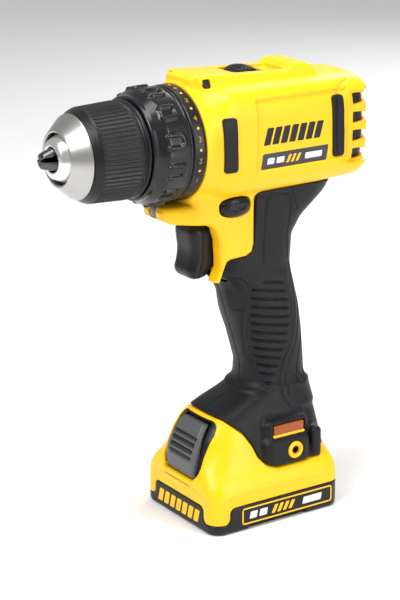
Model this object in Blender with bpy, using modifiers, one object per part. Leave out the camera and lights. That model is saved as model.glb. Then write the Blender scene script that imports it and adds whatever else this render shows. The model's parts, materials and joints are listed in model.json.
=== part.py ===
"""Compact cordless drill driver, built as an assembly of separate pieces.

Frame: X is the width, -Y is where the chuck points, +Z is up. The drill stands on its battery
at Z = 0, and the origin is the bottom centre of its bounding box. Sizes below are millimetres,
and MM turns them into Blender's metres.
"""

import math

import bmesh
import bpy
from mathutils import Matrix, Vector

MM = 0.001
GAP = 0.3  # clearance between pieces that touch

# Driving dimensions
AXIS_Z = 178.0  # height of the chuck, gearbox and motor axis
NOSE_Y = -80.3  # tip of the jaws
REAR_Y = 80.3  # rear of the motor housing
FRONT_Y = -13.2  # front rim of the motor housing
SHELL = 2.2  # wall of the motor housing
SKIN = 2.0  # thickness of the soft grip
BATTERY_Y = 24.2  # middle of the battery along Y
BATTERY_HALF_LENGTH = 36.0
BATTERY_HALF_WIDTH = 29.0
TRAY_TOP = 12.3
SHOULDER_Z = 24.0  # top of the battery's box, where its tower begins

# Planetary gears: both stages share one module and one set of tooth counts
MODULE = 0.8
SUN_TEETH, PLANET_TEETH, RING_TEETH = 12, 15, 42
PLANET_ORBIT = MODULE * (SUN_TEETH + PLANET_TEETH) / 2
PIN_RADIUS = 1.45

# Chuck jaws slide in slots that lean towards the axis
JAW_LEAN = math.radians(20)
JAW_RADIUS = 3.4
JAW_LENGTH = 20.0
JAW_APEX_Y = -79.5  # where the jaws' own axes meet the chuck axis

# Sections of the motor housing along Y: (y, half width, half height, squareness)
HEAD = [
    (FRONT_Y, 26.0, 26.0, 2.0),
    (-9.0, 26.0, 26.0, 2.0),
    (-4.0, 25.0, 25.2, 2.6),
    (2.0, 24.6, 25.0, 3.2),
    (50.0, 24.0, 24.0, 3.2),
    (68.0, 23.6, 23.4, 3.2),
    (76.0, 21.5, 21.6, 3.0),
    (REAR_Y, 17.0, 17.0, 2.6),
]
# Sections of the handle along Z: (z, front y, rear y, half width, squareness)
HANDLE = [
    (56.0, 21.0, 55.0, 15.6, 2.6),
    (60.0, 22.3, 54.2, 14.7, 2.5),
    (70.0, 22.2, 53.9, 14.5, 2.4),
    (85.0, 17.5, 52.5, 15.0, 2.4),
    (97.0, 13.5, 50.2, 15.5, 2.5),
    (108.0, 10.8, 47.2, 15.3, 2.6),
    (113.0, 8.5, 45.6, 15.2, 2.8),
    (116.5, 0.5, 45.0, 15.2, 3.0),
    (131.0, 3.0, 44.6, 15.4, 3.2),
    (139.0, 4.0, 50.0, 16.0, 3.2),
    (149.0, 4.0, 63.0, 17.0, 3.2),
    (162.0, 4.0, 66.0, 18.0, 3.2),
]
# Sections of the foot, which the battery's tower continues: (z, front y, rear y, half width, squareness)
FOOT = [
    (SHOULDER_Z - 1.0, -10.6, 59.4, 25.6, 5.0),
    (27.0, -10.4, 59.0, 24.6, 5.0),
    (32.0, -9.8, 58.4, 23.4, 4.6),
    (38.0, -8.0, 57.8, 21.8, 4.2),
    (44.0, -4.6, 57.0, 20.0, 4.0),
    (48.0, -1.4, 56.4, 18.6, 3.6),
    (51.0, 2.0, 56.0, 17.3, 3.2),
    (54.0, 9.0, 55.6, 16.3, 3.0),
    (57.5, 19.0, 55.0, 15.3, 2.8),
]
# Where the foot rests in the battery, seen from the side: (y, z)
SEAT = [
    (-3.0, 51.2),
    (3.5, 49.0),
    (10.2, 43.0),
    (14.1, 36.9),
    (16.3, 31.5),
    (20.0, 27.5),
    (25.7, 25.6),
    (50.0, 25.6),
    (54.0, 28.5),
]
# Side outline of the yellow frame round the trigger: (y, z)
FRAME = [
    (-12.9, 166.0),
    (-12.9, 151.2),
    (-25.5, 151.0),
    (-24.3, 146.0),
    (-18.5, 143.0),
    (-3.0, 141.8),
    (0.6, 134.0),
    (1.3, 122.0),
    (-2.0, 115.3),
    (0.5, 114.8),
    (2.2, 120.0),
    (4.0, 124.6),
    (14.0, 125.4),
    (18.3, 129.0),
    (18.3, 166.0),
]
# Housing screws, driven in from the right: (y, z, half length)
SCREWS = [(-8.0, 204.4, 9.0), (75.0, 196.5, 9.5), (75.0, 159.5, 9.5), (-14.5, 147.4, 12.0)]

parts = None
cutters = None


# ---------------------------------------------------------------- helpers


def clear_scene():
    for obj in list(bpy.data.objects):
        bpy.data.objects.remove(obj, do_unlink=True)


def new_collection(name):
    collection = bpy.data.collections.new(name)
    bpy.context.scene.collection.children.link(collection)
    return collection


def material(name, color, roughness, metallic=0.0):
    found = bpy.data.materials.get(name)
    if found:
        return found
    made = bpy.data.materials.new(name)
    made.use_nodes = True
    shader = made.node_tree.nodes["Principled BSDF"]
    shader.inputs["Base Color"].default_value = (*color, 1.0)
    shader.inputs["Roughness"].default_value = roughness
    shader.inputs["Metallic"].default_value = metallic
    return made


def yellow_nylon():
    return material("yellow_nylon", (0.95, 0.60, 0.01), 0.4)


def black_rubber():
    return material("black_rubber", (0.02, 0.02, 0.022), 0.7)


def black_nylon():
    return material("black_nylon", (0.025, 0.025, 0.028), 0.45)


def grey_nylon():
    return material("grey_nylon", (0.25, 0.26, 0.28), 0.45)


def steel():
    return material("steel", (0.6, 0.6, 0.6), 0.3, 1.0)


def dark_steel():
    return material("dark_steel", (0.18, 0.18, 0.19), 0.35, 1.0)


def copper():
    return material("copper", (0.7, 0.32, 0.16), 0.35, 1.0)


def brass():
    return material("brass", (0.75, 0.55, 0.2), 0.35, 1.0)


def link(obj, finish=None):
    """Puts a piece with the parts, or with the cutters if it has no material."""
    if finish is None:
        obj.hide_render = True
        obj.display_type = "WIRE"
        cutters.objects.link(obj)
    else:
        obj.data.materials.append(finish)
        parts.objects.link(obj)
    return obj


def mesh_object(name, bm, finish=None, location=(0, 0, 0)):
    """An object from a bmesh in millimetres, with its faces turned outwards."""
    bmesh.ops.scale(bm, vec=(MM, MM, MM), verts=bm.verts)
    bmesh.ops.recalc_face_normals(bm, faces=bm.faces)
    mesh = bpy.data.meshes.new(name)
    bm.to_mesh(mesh)
    bm.free()
    obj = bpy.data.objects.new(name, mesh)
    obj.location = Vector(location) * MM
    return link(obj, finish)


def evaluated_mesh(obj):
    """The mesh of an object with its modifiers applied and its loose seams welded."""
    bpy.context.view_layer.update()
    graph = bpy.context.evaluated_depsgraph_get()
    mesh = bpy.data.meshes.new_from_object(obj.evaluated_get(graph))
    bm = bmesh.new()
    bm.from_mesh(mesh)
    bmesh.ops.remove_doubles(bm, verts=bm.verts, dist=1e-6)
    bmesh.ops.recalc_face_normals(bm, faces=bm.faces)
    bm.to_mesh(mesh)
    bm.free()
    return mesh


def boolean(obj, tools, operation):
    """One Boolean with every tool at once, so that no rounding builds up between them."""
    group = bpy.data.collections.new(f"{obj.name}_{operation.lower()}")
    cutters.children.link(group)
    for tool in tools:
        group.objects.link(tool)
    modifier = obj.modifiers.new(operation.lower(), "BOOLEAN")
    modifier.operation = operation
    modifier.solver = "EXACT"
    modifier.operand_type = "COLLECTION"
    modifier.collection = group
    return obj


def cut(obj, *tools):
    return boolean(obj, tools, "DIFFERENCE")


def join(obj, *tools):
    return boolean(obj, tools, "UNION")


def bevel(obj, width, segments=2, angle=40):
    modifier = obj.modifiers.new("bevel", "BEVEL")
    modifier.width = width * MM
    modifier.segments = segments
    modifier.limit_method = "ANGLE"
    modifier.angle_limit = math.radians(angle)
    return obj


def smooth(obj):
    """Shades a round mesh smooth and keeps its corners sharp."""
    obj.data.shade_smooth()
    obj.data.set_sharp_from_angle(angle=math.radians(35))
    return obj


def box(name, low, high, finish=None, round_by=0.0, origin=None):
    """A box between two corners. origin is the point, in millimetres, where its object sits."""
    low, high = Vector(low), Vector(high)
    at = Vector(origin) if origin is not None else (low + high) / 2
    bm = bmesh.new()
    bmesh.ops.create_cube(bm, size=1.0)
    bmesh.ops.scale(bm, vec=high - low, verts=bm.verts)
    bmesh.ops.translate(bm, vec=(low + high) / 2 - at, verts=bm.verts)
    obj = mesh_object(name, bm, finish, at)
    return bevel(obj, round_by) if round_by else obj


def rod(name, start, end, radius, finish=None, sides=20):
    """A round bar between two points."""
    start, end = Vector(start), Vector(end)
    bm = bmesh.new()
    bmesh.ops.create_cone(
        bm, cap_ends=True, segments=sides, radius1=radius, radius2=radius, depth=(end - start).length
    )
    turn = (end - start).to_track_quat("Z", "Y").to_matrix()
    bmesh.ops.rotate(bm, cent=(0, 0, 0), matrix=turn, verts=bm.verts)
    return mesh_object(name, bm, finish, (start + end) / 2)


def turned(name, profile, finish=None, steps=24):
    """A shape turned about the chuck axis from (radius, y) points.

    A profile that starts and ends at radius 0 is closed by the axis, and any other by itself.
    """
    bm = bmesh.new()
    verts = [bm.verts.new((radius * MM, y * MM, 0)) for radius, y in profile]
    for first, second in zip(verts, verts[1:]):
        bm.edges.new((first, second))
    if profile[0][0] > 0:
        bm.edges.new((verts[-1], verts[0]))
    mesh = bpy.data.meshes.new(name)
    bm.to_mesh(mesh)
    bm.free()
    obj = bpy.data.objects.new(name, mesh)
    obj.location = (0, 0, AXIS_Z * MM)
    bpy.context.scene.collection.objects.link(obj)
    screw = obj.modifiers.new("screw", "SCREW")
    screw.axis = "Y"
    screw.steps = screw.render_steps = steps
    screw.use_merge_vertices = True
    screw.merge_threshold = 1e-6
    obj.data = evaluated_mesh(obj)
    obj.modifiers.clear()
    bpy.context.scene.collection.objects.unlink(obj)
    return smooth(link(obj, finish))


def plate(name, outlines, thickness, finish=None, turn="SIDE", at=(0, 0, 0)):
    """A flat outline, with further outlines as holes, given a thickness about its middle.

    turn SIDE reads points as (y, z) and thickens along X, FRONT as (x, z) along Y, and
    TOP as (x, y) along Z.
    """
    curve = bpy.data.curves.new(name, "CURVE")
    curve.dimensions = "2D"
    curve.fill_mode = "BOTH"
    curve.extrude = thickness / 2 * MM
    for outline in outlines:
        spline = curve.splines.new("POLY")
        spline.points.add(len(outline) - 1)
        for point, (u, v) in zip(spline.points, outline):
            point.co = (u * MM, v * MM, 0, 1)
        spline.use_cyclic_u = True
    flat = bpy.data.objects.new(name, curve)
    bpy.context.scene.collection.objects.link(flat)
    mesh = evaluated_mesh(flat)
    bpy.data.objects.remove(flat)
    turns = {
        "SIDE": Matrix(((0, 0, 1), (1, 0, 0), (0, 1, 0))),
        "FRONT": Matrix(((1, 0, 0), (0, 0, -1), (0, 1, 0))),
        "TOP": Matrix.Identity(3),
    }
    mesh.transform(turns[turn].to_4x4())
    obj = bpy.data.objects.new(name, mesh)
    obj.location = Vector(at) * MM
    return link(obj, finish)


def ring_points(half_u, half_v, squareness, count):
    """Points round a superellipse: squareness 2 is an ellipse, and more is squarer."""
    points = []
    for i in range(count):
        angle = 2 * math.pi * (i + 0.5) / count
        c, s = math.cos(angle), math.sin(angle)
        points.append(
            (
                half_u * math.copysign(abs(c) ** (2 / squareness), c),
                half_v * math.copysign(abs(s) ** (2 / squareness), s),
            )
        )
    return points


def loft(name, rings, finish=None):
    """A closed skin over rings of points that all have the same count."""
    bm = bmesh.new()
    rows = [[bm.verts.new(point) for point in ring] for ring in rings]
    count = len(rows[0])
    for low, high in zip(rows, rows[1:]):
        for i in range(count):
            j = (i + 1) % count
            bm.faces.new((low[i], low[j], high[j], high[i]))
    bm.faces.new(rows[0])
    bm.faces.new(rows[-1])
    return smooth(mesh_object(name, bm, finish))


def head_loft(name, inset, finish=None):
    """The motor housing's outer shape, or the same drawn in by inset."""
    rings = []
    for y, half_x, half_z, squareness in HEAD:
        y = min(max(y, FRONT_Y - 5 if inset > 0 else FRONT_Y), REAR_Y - inset)
        ring = ring_points(half_x - inset, half_z - inset, squareness, 24)
        rings.append([(u, y, AXIS_Z + v) for u, v in ring])
    return loft(name, rings, finish)


def upright_loft(name, sections, inset, finish=None, count=20):
    """The handle's or the foot's outer shape, or the same drawn in by inset."""
    rings = []
    for z, front, rear, half_x, squareness in sections:
        ring = ring_points(half_x - inset, (rear - front) / 2 - inset, squareness, count)
        rings.append([(u, (front + rear) / 2 + v, z) for u, v in ring])
    return loft(name, rings, finish)


def rounded_rectangle(centre_y, half_x, half_y, radius, steps=4):
    """(x, y) points of a rectangle with round corners, centred on X = 0."""
    points = []
    for corner, (sx, sy) in enumerate(((1, 1), (-1, 1), (-1, -1), (1, -1))):
        for i in range(steps + 1):
            angle = math.pi / 2 * (corner + i / steps)
            points.append(
                (
                    sx * (half_x - radius) + radius * math.cos(angle),
                    centre_y + sy * (half_y - radius) + radius * math.sin(angle),
                )
            )
    return points


def circle(radius, count=16, centre=(0, 0)):
    return [
        (
            centre[0] + radius * math.cos(2 * math.pi * i / count),
            centre[1] + radius * math.sin(2 * math.pi * i / count),
        )
        for i in range(count)
    ]


def wire(name, points, radius, finish, sides_setting=1):
    """A round wire along a list of points."""
    curve = bpy.data.curves.new(name, "CURVE")
    curve.dimensions = "3D"
    curve.bevel_depth = radius * MM
    curve.bevel_resolution = sides_setting
    curve.use_fill_caps = True
    spline = curve.splines.new("POLY")
    spline.points.add(len(points) - 1)
    for point, co in zip(spline.points, points):
        point.co = (*(Vector(co) * MM), 1)
    return link(bpy.data.objects.new(name, curve), finish)


def coil(radius, start_y, end_y, turns, centre_z, per_turn=12):
    """Points along a spring whose axis is parallel to Y."""
    count = int(turns * per_turn)
    points = []
    for i in range(count + 1):
        angle = 2 * math.pi * i / per_turn
        y = start_y + (end_y - start_y) * i / count
        points.append((radius * math.cos(angle), y, centre_z + radius * math.sin(angle)))
    return points


# ---------------------------------------------------------------- gears


def gear_outline(teeth, phase, internal=False):
    """(x, z) points of a straight-flanked gear. phase turns it, and at 0 a tooth points along +X."""
    pitch = 2 * math.pi / teeth
    radius = MODULE * teeth / 2
    tip, root = (-0.9, 1.15) if internal else (0.9, -1.15)
    corners = ((-0.30, root), (-0.13, tip), (0.13, tip), (0.30, root))
    return [
        (
            (radius + share * MODULE) * math.cos(phase + (i + turn) * pitch),
            (radius + share * MODULE) * math.sin(phase + (i + turn) * pitch),
        )
        for i in range(teeth)
        for turn, share in corners
    ]


def planet_angle(index):
    return 2 * math.pi * index / 3


def planet_phase(index):
    """The turn that puts a planet in mesh with a sun whose tooth points along +X."""
    at = planet_angle(index)
    return at + math.pi - math.pi / PLANET_TEETH + at * SUN_TEETH / PLANET_TEETH


def make_planet(name, index, low_y, high_y):
    at = planet_angle(index)
    outlines = [gear_outline(PLANET_TEETH, planet_phase(index)), circle(PIN_RADIUS + 0.3, 12)]
    place = (
        PLANET_ORBIT * math.cos(at),
        (low_y + high_y) / 2,
        AXIS_Z + PLANET_ORBIT * math.sin(at),
    )
    return plate(name, outlines, high_y - low_y, steel(), "FRONT", place)


def make_ring_gear(name, outer, low_y, high_y):
    phase = math.pi / RING_TEETH if PLANET_TEETH % 2 else 0.0
    outlines = [circle(outer, 28), gear_outline(RING_TEETH, phase, internal=True)]
    return plate(
        name, outlines, high_y - low_y, steel(), "FRONT", (0, (low_y + high_y) / 2, AXIS_Z)
    )


def carrier_pins(carrier, low_y, high_y):
    for index in range(3):
        at = planet_angle(index)
        x, z = PLANET_ORBIT * math.cos(at), AXIS_Z + PLANET_ORBIT * math.sin(at)
        pin = rod(f"{carrier.name}_pin_{index}", (x, low_y, z), (x, high_y, z), PIN_RADIUS, sides=12)
        join(carrier, pin)
    return carrier


def make_gearbox():
    case = turned(
        "gear_case",
        [
            (10.4, -38.0),
            (13.4, -38.0),
            (13.4, -14.6),
            (21.0, -13.0),
            (21.0, 16.6),
            (18.7, 16.6),
            (18.7, -11.2),
            (7.9, -11.2),
            (7.9, -32.0),
            (10.4, -32.0),
        ],
        material("cast_alloy", (0.45, 0.45, 0.46), 0.5, 1.0),
    )
    cut(case, box("fork_slot", (-4.6, 2.6, AXIS_Z + 14), (4.6, 13.4, AXIS_Z + 24)))
    turned(
        "gear_case_cover",
        [(6.4, 14.5), (18.4, 14.5), (18.4, 16.4), (6.4, 16.4)],
        black_nylon(),
    )
    make_ring_gear("fixed_ring_gear", 18.4, -8.4, 0.2)
    make_ring_gear("shift_ring_gear", 18.0, 3.0, 10.2)
    for index, letter in enumerate("abc"):
        make_planet(f"planet_1{letter}", index, 3.2, 10.0)
        make_planet(f"planet_2{letter}", index, -8.2, -1.2)
    output = turned("output_carrier", [(4.3, -10.8), (13.0, -10.8), (13.0, -9.0), (4.3, -9.0)], steel())
    carrier_pins(output, -9.6, -0.6)
    middle = turned("middle_carrier", [(0, 2.4), (13.0, 2.4), (13.0, 0.6), (0, 0.6)], steel())
    carrier_pins(middle, 1.4, 10.8)
    sun = plate(
        "middle_sun",
        [gear_outline(SUN_TEETH, 0.0)],
        9.4,
        None,
        "FRONT",
        (0, -3.5, AXIS_Z),
    )
    join(middle, sun)


# ---------------------------------------------------------------- motor


def make_motor():
    turned(
        "motor_can",
        [(4.4, 17.2), (17.9, 17.2), (17.9, 64.0), (16.7, 64.0), (16.7, 18.6), (4.4, 18.6)],
        steel(),
    )
    turned("magnet_ring", [(13.7, 25.0), (16.4, 25.0), (16.4, 56.0), (13.7, 56.0)], dark_steel())
    poles = []
    for pole in range(5):
        middle = 2 * math.pi * pole / 5
        for turn, radius in ((-0.16, 5.4), (-0.12, 10.6), (-0.52, 10.9), (-0.52, 12.9)):
            poles.append((middle + turn, radius))
        poles += [(middle - 0.17, 13.1), (middle + 0.17, 13.1)]
        for turn, radius in ((0.52, 12.9), (0.52, 10.9), (0.12, 10.6), (0.16, 5.4)):
            poles.append((middle + turn, radius))
    star = [(radius * math.cos(at), radius * math.sin(at)) for at, radius in poles]
    plate("armature", [star, circle(1.9, 12)], 28, dark_steel(), "FRONT", (0, 41, AXIS_Z))
    turned("rotor_shaft", [(0, 73.5), (1.6, 73.5), (1.6, 2.9), (0, 2.9)], steel(), 12)
    pinion = [gear_outline(SUN_TEETH, 0.0), circle(1.9, 12)]
    plate("motor_pinion", pinion, 8.3, steel(), "FRONT", (0, 7.25, AXIS_Z))
    turned("commutator", [(1.9, 57.0), (5.0, 57.0), (5.0, 63.0), (1.9, 63.0)], copper(), 20)
    blades = []
    for blade in range(9):
        at = 2 * math.pi * blade / 9
        for turn, radius in ((0.0, 5.6), (0.16, 15.6), (0.24, 15.6), (0.22, 5.6)):
            blades.append((radius * math.cos(at + turn), radius * math.sin(at + turn)))
    plate("cooling_fan", [blades, circle(1.9, 12)], 4.0, grey_nylon(), "FRONT", (0, 21.6, AXIS_Z))
    bell = turned(
        "motor_end_bell",
        [(2.1, 64.3), (17.9, 64.3), (17.9, 68.0), (8.0, 68.0), (7.0, 72.5), (2.1, 72.5)],
        black_nylon(),
    )
    for side, name in ((1, "left"), (-1, "right")):
        low = sorted((side * 5.4, side * 12.6))
        box(f"brush_{name}", (low[0], 58.0, AXIS_Z - 2), (low[1], 62.0, AXIS_Z + 2), dark_steel())
    return bell


# ---------------------------------------------------------------- chuck and clutch


def jaw_frame(index):
    """The outward direction of a jaw, and the direction in which it draws back."""
    at = planet_angle(index) + math.pi / 2
    outward = Vector((math.cos(at), 0, math.sin(at)))
    back = math.cos(JAW_LEAN) * Vector((0, 1, 0)) + math.sin(JAW_LEAN) * outward
    return outward, back


def keep_side(bm, point, normal):
    """Cuts a convex mesh by a plane, and keeps what lies against the normal."""
    found = bmesh.ops.bisect_plane(
        bm,
        geom=bm.verts[:] + bm.edges[:] + bm.faces[:],
        plane_co=point,
        plane_no=normal,
        clear_outer=True,
    )
    rim = [item for item in found["geom_cut"] if isinstance(item, bmesh.types.BMEdge)]
    if rim:
        bmesh.ops.contextual_create(bm, geom=rim)


def make_jaw(name, index):
    """A round bar along its slot, cut to its third of the circle and square at its nose."""
    outward, back = jaw_frame(index)
    bm = bmesh.new()
    bmesh.ops.create_cone(
        bm, cap_ends=True, segments=20, radius1=JAW_RADIUS, radius2=JAW_RADIUS, depth=JAW_LENGTH + 6
    )
    bmesh.ops.rotate(bm, cent=(0, 0, 0), matrix=back.to_track_quat("Z", "Y").to_matrix(), verts=bm.verts)
    apex = Vector((0, JAW_APEX_Y, 0))
    bmesh.ops.translate(bm, vec=apex + back * (JAW_LENGTH / 2 - 3), verts=bm.verts)
    around = Vector((0, 1, 0)).cross(outward)
    for side in (1, -1):
        edge = (math.sin(math.radians(60)) * around * side + math.cos(math.radians(60)) * -outward)
        plane_point = -edge * 0.2
        keep_side(bm, plane_point, edge)
    keep_side(bm, outward * 0.35, -outward)
    keep_side(bm, (0, NOSE_Y, 0), (0, -1, 0))
    return mesh_object(name, bm, dark_steel(), (0, 0, AXIS_Z))


def groove_radius(y):
    """The cone on which the outer sides of the jaws lie."""
    return (y - JAW_APEX_Y) * math.tan(JAW_LEAN) + JAW_RADIUS / math.cos(JAW_LEAN)


def make_chuck():
    body = turned(
        "chuck_body",
        [
            (5.4, -74.6),
            (8.0, -74.6),
            (10.8, -70.6),
            (10.8, -66.2),
            (groove_radius(-66.0), -66.2),
            (groove_radius(-62.2), -62.0),
            (16.0, -62.0),
            (16.0, -44.0),
            (11.0, -40.5),
            (5.4, -40.5),
            (5.4, -55.3),
            (1.9, -55.3),
            (1.9, -57.0),
            (5.4, -57.0),
        ],
        steel(),
    )
    for index in range(3):
        _, back = jaw_frame(index)
        apex = Vector((0, JAW_APEX_Y, AXIS_Z))
        slot = rod(f"jaw_slot_{index}", apex - back * 5, apex + back * 33.2, JAW_RADIUS + 0.35)
        cut(body, slot)
        make_jaw(f"jaw_{index + 1}", index)
    turned(
        "jaw_nut",
        [
            (groove_radius(-65.6) + 0.4, -65.6),
            (15.0, -65.6),
            (15.0, -62.5),
            (groove_radius(-62.5) + 0.4, -62.5),
        ],
        steel(),
    )
    turned(
        "nose_cap",
        [(11.3, -72.3), (12.2, -72.3), (18.6, -65.0), (16.4, -65.0), (11.3, -70.9)],
        steel(),
        36,
    )
    turned(
        "chuck_sleeve",
        [
            (15.4, -64.6),
            (18.6, -64.6),
            (20.4, -61.6),
            (21.4, -38.3),
            (18.3, -38.3),
            (18.3, -62.6),
            (15.4, -62.6),
        ],
        black_nylon(),
        36,
    )
    turned(
        "chuck_screw",
        [(0, -46.5), (1.5, -46.5), (1.5, -57.4), (3.0, -57.4), (3.0, -59.4), (0, -59.4)],
        dark_steel(),
        16,
    )
    turned(
        "spindle",
        [
            (0, -9.0),
            (4.0, -9.0),
            (4.0, -11.1),
            (7.5, -11.1),
            (7.5, -14.5),
            (5.0, -14.5),
            (5.0, -54.6),
            (1.9, -54.6),
            (1.9, -46.0),
            (0, -46.0),
        ],
        steel(),
        24,
    )
    turned("front_bearing", [(5.3, -37.6), (10.1, -37.6), (10.1, -32.4), (5.3, -32.4)], steel())


def make_clutch():
    collar = turned(
        "clutch_collar",
        [
            (14.4, -37.9),
            (22.6, -37.9),
            (22.6, -35.6),
            (25.2, -32.6),
            (25.2, -19.8),
            (19.6, -19.8),
            (19.6, -36.0),
            (14.4, -36.0),
        ],
        black_nylon(),
        36,
    )
    pads = bmesh.new()
    for index in range(12):
        made = bmesh.ops.create_cube(pads, size=1.0)["verts"]
        bmesh.ops.scale(pads, vec=(5.0, 9.0, 3.0), verts=made)
        bmesh.ops.translate(pads, vec=(0, -26.6, 24.7), verts=made)
        turn = Matrix.Rotation(2 * math.pi * (index + 0.5) / 12, 3, "Y")
        bmesh.ops.rotate(pads, cent=(0, 0, 0), matrix=turn, verts=made)
    join(collar, mesh_object("collar_pads", pads, None, (0, 0, AXIS_Z)))
    turned(
        "torque_scale",
        [(19.6, -19.5), (25.0, -19.5), (25.4, -18.8), (25.4, -13.6), (19.6, -13.6)],
        black_nylon(),
        36,
    )
    wire("clutch_spring", coil(16.4, -34.6, -16.6, 3.5, AXIS_Z), 0.9, steel())


# ---------------------------------------------------------------- housing


def side_prism(name, outline, half_x, round_by=0.0):
    obj = plate(name, [outline], 2 * half_x)
    return bevel(obj, round_by) if round_by else obj


def below_seat(shift_y, shift_z):
    """The side outline of everything under the foot, moved by a clearance."""
    line = [(y + shift_y, z + shift_z) for y, z in SEAT]
    return [(-40, -9), (-40, line[0][1]), *line, (90, line[-1][1]), (90, -9)]


def oval(name, centre_y, centre_z, half_y, half_z, half_x, finish=None):
    """A bar of oval section that runs across the drill."""
    outline = ring_points(half_y, half_z, 3.0, 20)
    moved = [(centre_y + u, centre_z + v) for u, v in outline]
    return plate(name, [moved], 2 * half_x, finish)


def make_housing_tools():
    """Everything that both housing halves are joined to and cut by, in order."""
    add = [
        box("top_block", (-12.5, -9.0, 190), (12.5, 52.5, 206.2), None, 2.0),
        box("top_lug", (-11.0, 42.0, 190), (11.0, 51.0, 208.6), None, 1.5),
        side_prism("trigger_frame", FRAME, 17.0),
        upright_loft("handle_core", HANDLE, SKIN),
        upright_loft("foot_core", FOOT, SKIN),
    ]
    hollow = [
        upright_loft("handle_hollow", HANDLE[:-1], SKIN + 2.0),
        upright_loft("foot_hollow", FOOT[:-1], SKIN + 2.0),
        side_prism("under_foot", below_seat(0.1, 0.25), 60),
        box("block_hollow", (-8.5, -2.4, 185), (8.5, 49.0, 202.9)),
        box("neck_hollow", (-9, 27, 40), (9, 47, 70)),
        box("frame_hollow", (-14.4, -10.5, 144.4), (14.4, 15.5, 165)),
    ]
    posts = []
    for index, (y, z, half) in enumerate(SCREWS):
        posts.append(rod(f"screw_post_{index}", (-half, y, z), (half, y, z), 3.6))
    openings = [
        box("trigger_slot", (-8.7, -12, 113), (8.7, 13, 141.2)),
        box("selector_recess", (-7.2, 12.6, 203.6), (7.2, 39.0, 215)),
        box("selector_slot", (-5.0, 14.0, 198), (5.0, 37.0, 206)),
        oval("direction_hole", 7.4, 149.5, 8.0, 4.6, 40),
        rod("led_hole", (0, -30, 148.6), (0, -17.2, 148.6), 3.1),
        box("lens_window", (15, 24.2, 39.5), (35, 41.8, 44.9)),
    ]
    for index, (y, z, half) in enumerate(SCREWS):
        openings.append(rod(f"screw_hole_{index}", (-40, y, z), (half - 2, y, z), 1.9, sides=12))
        openings.append(rod(f"screw_head_hole_{index}", (-40, y, z), (-half + 3, y, z), 3.2))
    for row in range(4):
        z = AXIS_Z - 12 + row * 8
        openings.append(box(f"rear_vent_{row}", (-40, 69.7, z - 1.5), (40, 75.3, z + 1.5)))
    return add, hollow, posts, openings


def make_housing():
    add, hollow, posts, openings = make_housing_tools()
    hollow.append(loft_hollow())
    for side, name in ((1, "left"), (-1, "right")):
        shell = head_loft(f"housing_{name}", 0.0, yellow_nylon())
        join(shell, *add)
        cut(shell, *hollow)
        join(shell, *posts)
        cut(shell, *openings)
        keep_half(shell, side)


def loft_hollow():
    """The space inside the motor housing, with a round mouth that holds the gear case."""
    rings = [(FRONT_Y - 5, 21.4, 21.4, 2.0), (-10.6, 21.4, 21.4, 2.0)]
    for y, half_x, half_z, squareness in HEAD[2:]:
        rings.append((min(y, REAR_Y - SHELL), half_x - SHELL, half_z - SHELL, squareness))
    made = []
    for y, half_x, half_z, squareness in rings:
        made.append([(u, y, AXIS_Z + v) for u, v in ring_points(half_x, half_z, squareness, 24)])
    return loft("head_hollow", made)


def keep_half(obj, side):
    """Keeps the half of a shell on one side of the parting plane."""
    name = "left_side" if side > 0 else "right_side"
    tool = bpy.data.objects.get(name)
    if tool is None:
        low, high = sorted((side * GAP / 2, side * 60))
        tool = box(name, (low, -120, -20), (high, 120, 240))
    modifier = obj.modifiers.new("half", "BOOLEAN")
    modifier.operation = "INTERSECT"
    modifier.solver = "EXACT"
    modifier.object = tool
    return obj


def make_grips():
    """The soft black grip: a skin over the handle and the foot, one for each half."""
    reach = GAP - 0.02
    yellow_side = [
        (-60, 230),
        (-60, 114.4),
        (0.5, 114.4),
        (2.6, 119.8),
        (4.3, 124.3),
        (14.1, 125.1),
        (18.6, 128.8),
        (18.6, 158.8),
        (90, 158.8),
        (90, 230),
    ]
    tools = [
        side_prism("grip_limit", yellow_side, 60),
        head_loft("head_outside", -GAP),
        upright_loft("handle_core_outside", [(55.7, *HANDLE[0][1:]), *HANDLE[1:]], SKIN - reach),
        upright_loft("foot_core_outside", [*FOOT[:-1], (57.8, *FOOT[-1][1:])], SKIN - reach),
        bpy.data.objects["under_foot"],
        box("lens_opening", (15, 23.9, 39.2), (45, 42.1, 45.2)),
        rod("insert_hole_left", (23.4, 34.7, 32.4), (45, 34.7, 32.4), 4.2),
        rod("insert_hole_right", (-23.4, 34.7, 32.4), (-45, 34.7, 32.4), 4.2),
        box("grip_trigger_slot", (-8.7, -12, 113), (8.7, 13, 141.2)),
    ]
    foot = upright_loft("foot_skin", FOOT, 0.0)
    for side, name in ((1, "left"), (-1, "right")):
        grip = upright_loft(f"grip_{name}", HANDLE, 0.0, black_rubber())
        low, high = sorted((side * 14.0, side * 27.2))
        boss = box(f"hook_boss_{name}", (low, 20.6, 26.3), (high, 41.6, 38.6), None, 2.0)
        join(grip, foot, boss)
        cut(grip, *tools)
        keep_half(grip, side)


def make_screws():
    for index, (y, z, half) in enumerate(SCREWS):
        name = f"housing_screw_{index + 1}"
        screw = rod(name, (-half + 2.6, y, z), (half - 2.6, y, z), 1.55, dark_steel(), 12)
        head = rod(f"screw_head_{index}", (-half + 2.7, y, z), (-half - 0.2, y, z), 2.8, sides=14)
        join(screw, head)


# ---------------------------------------------------------------- controls


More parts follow.
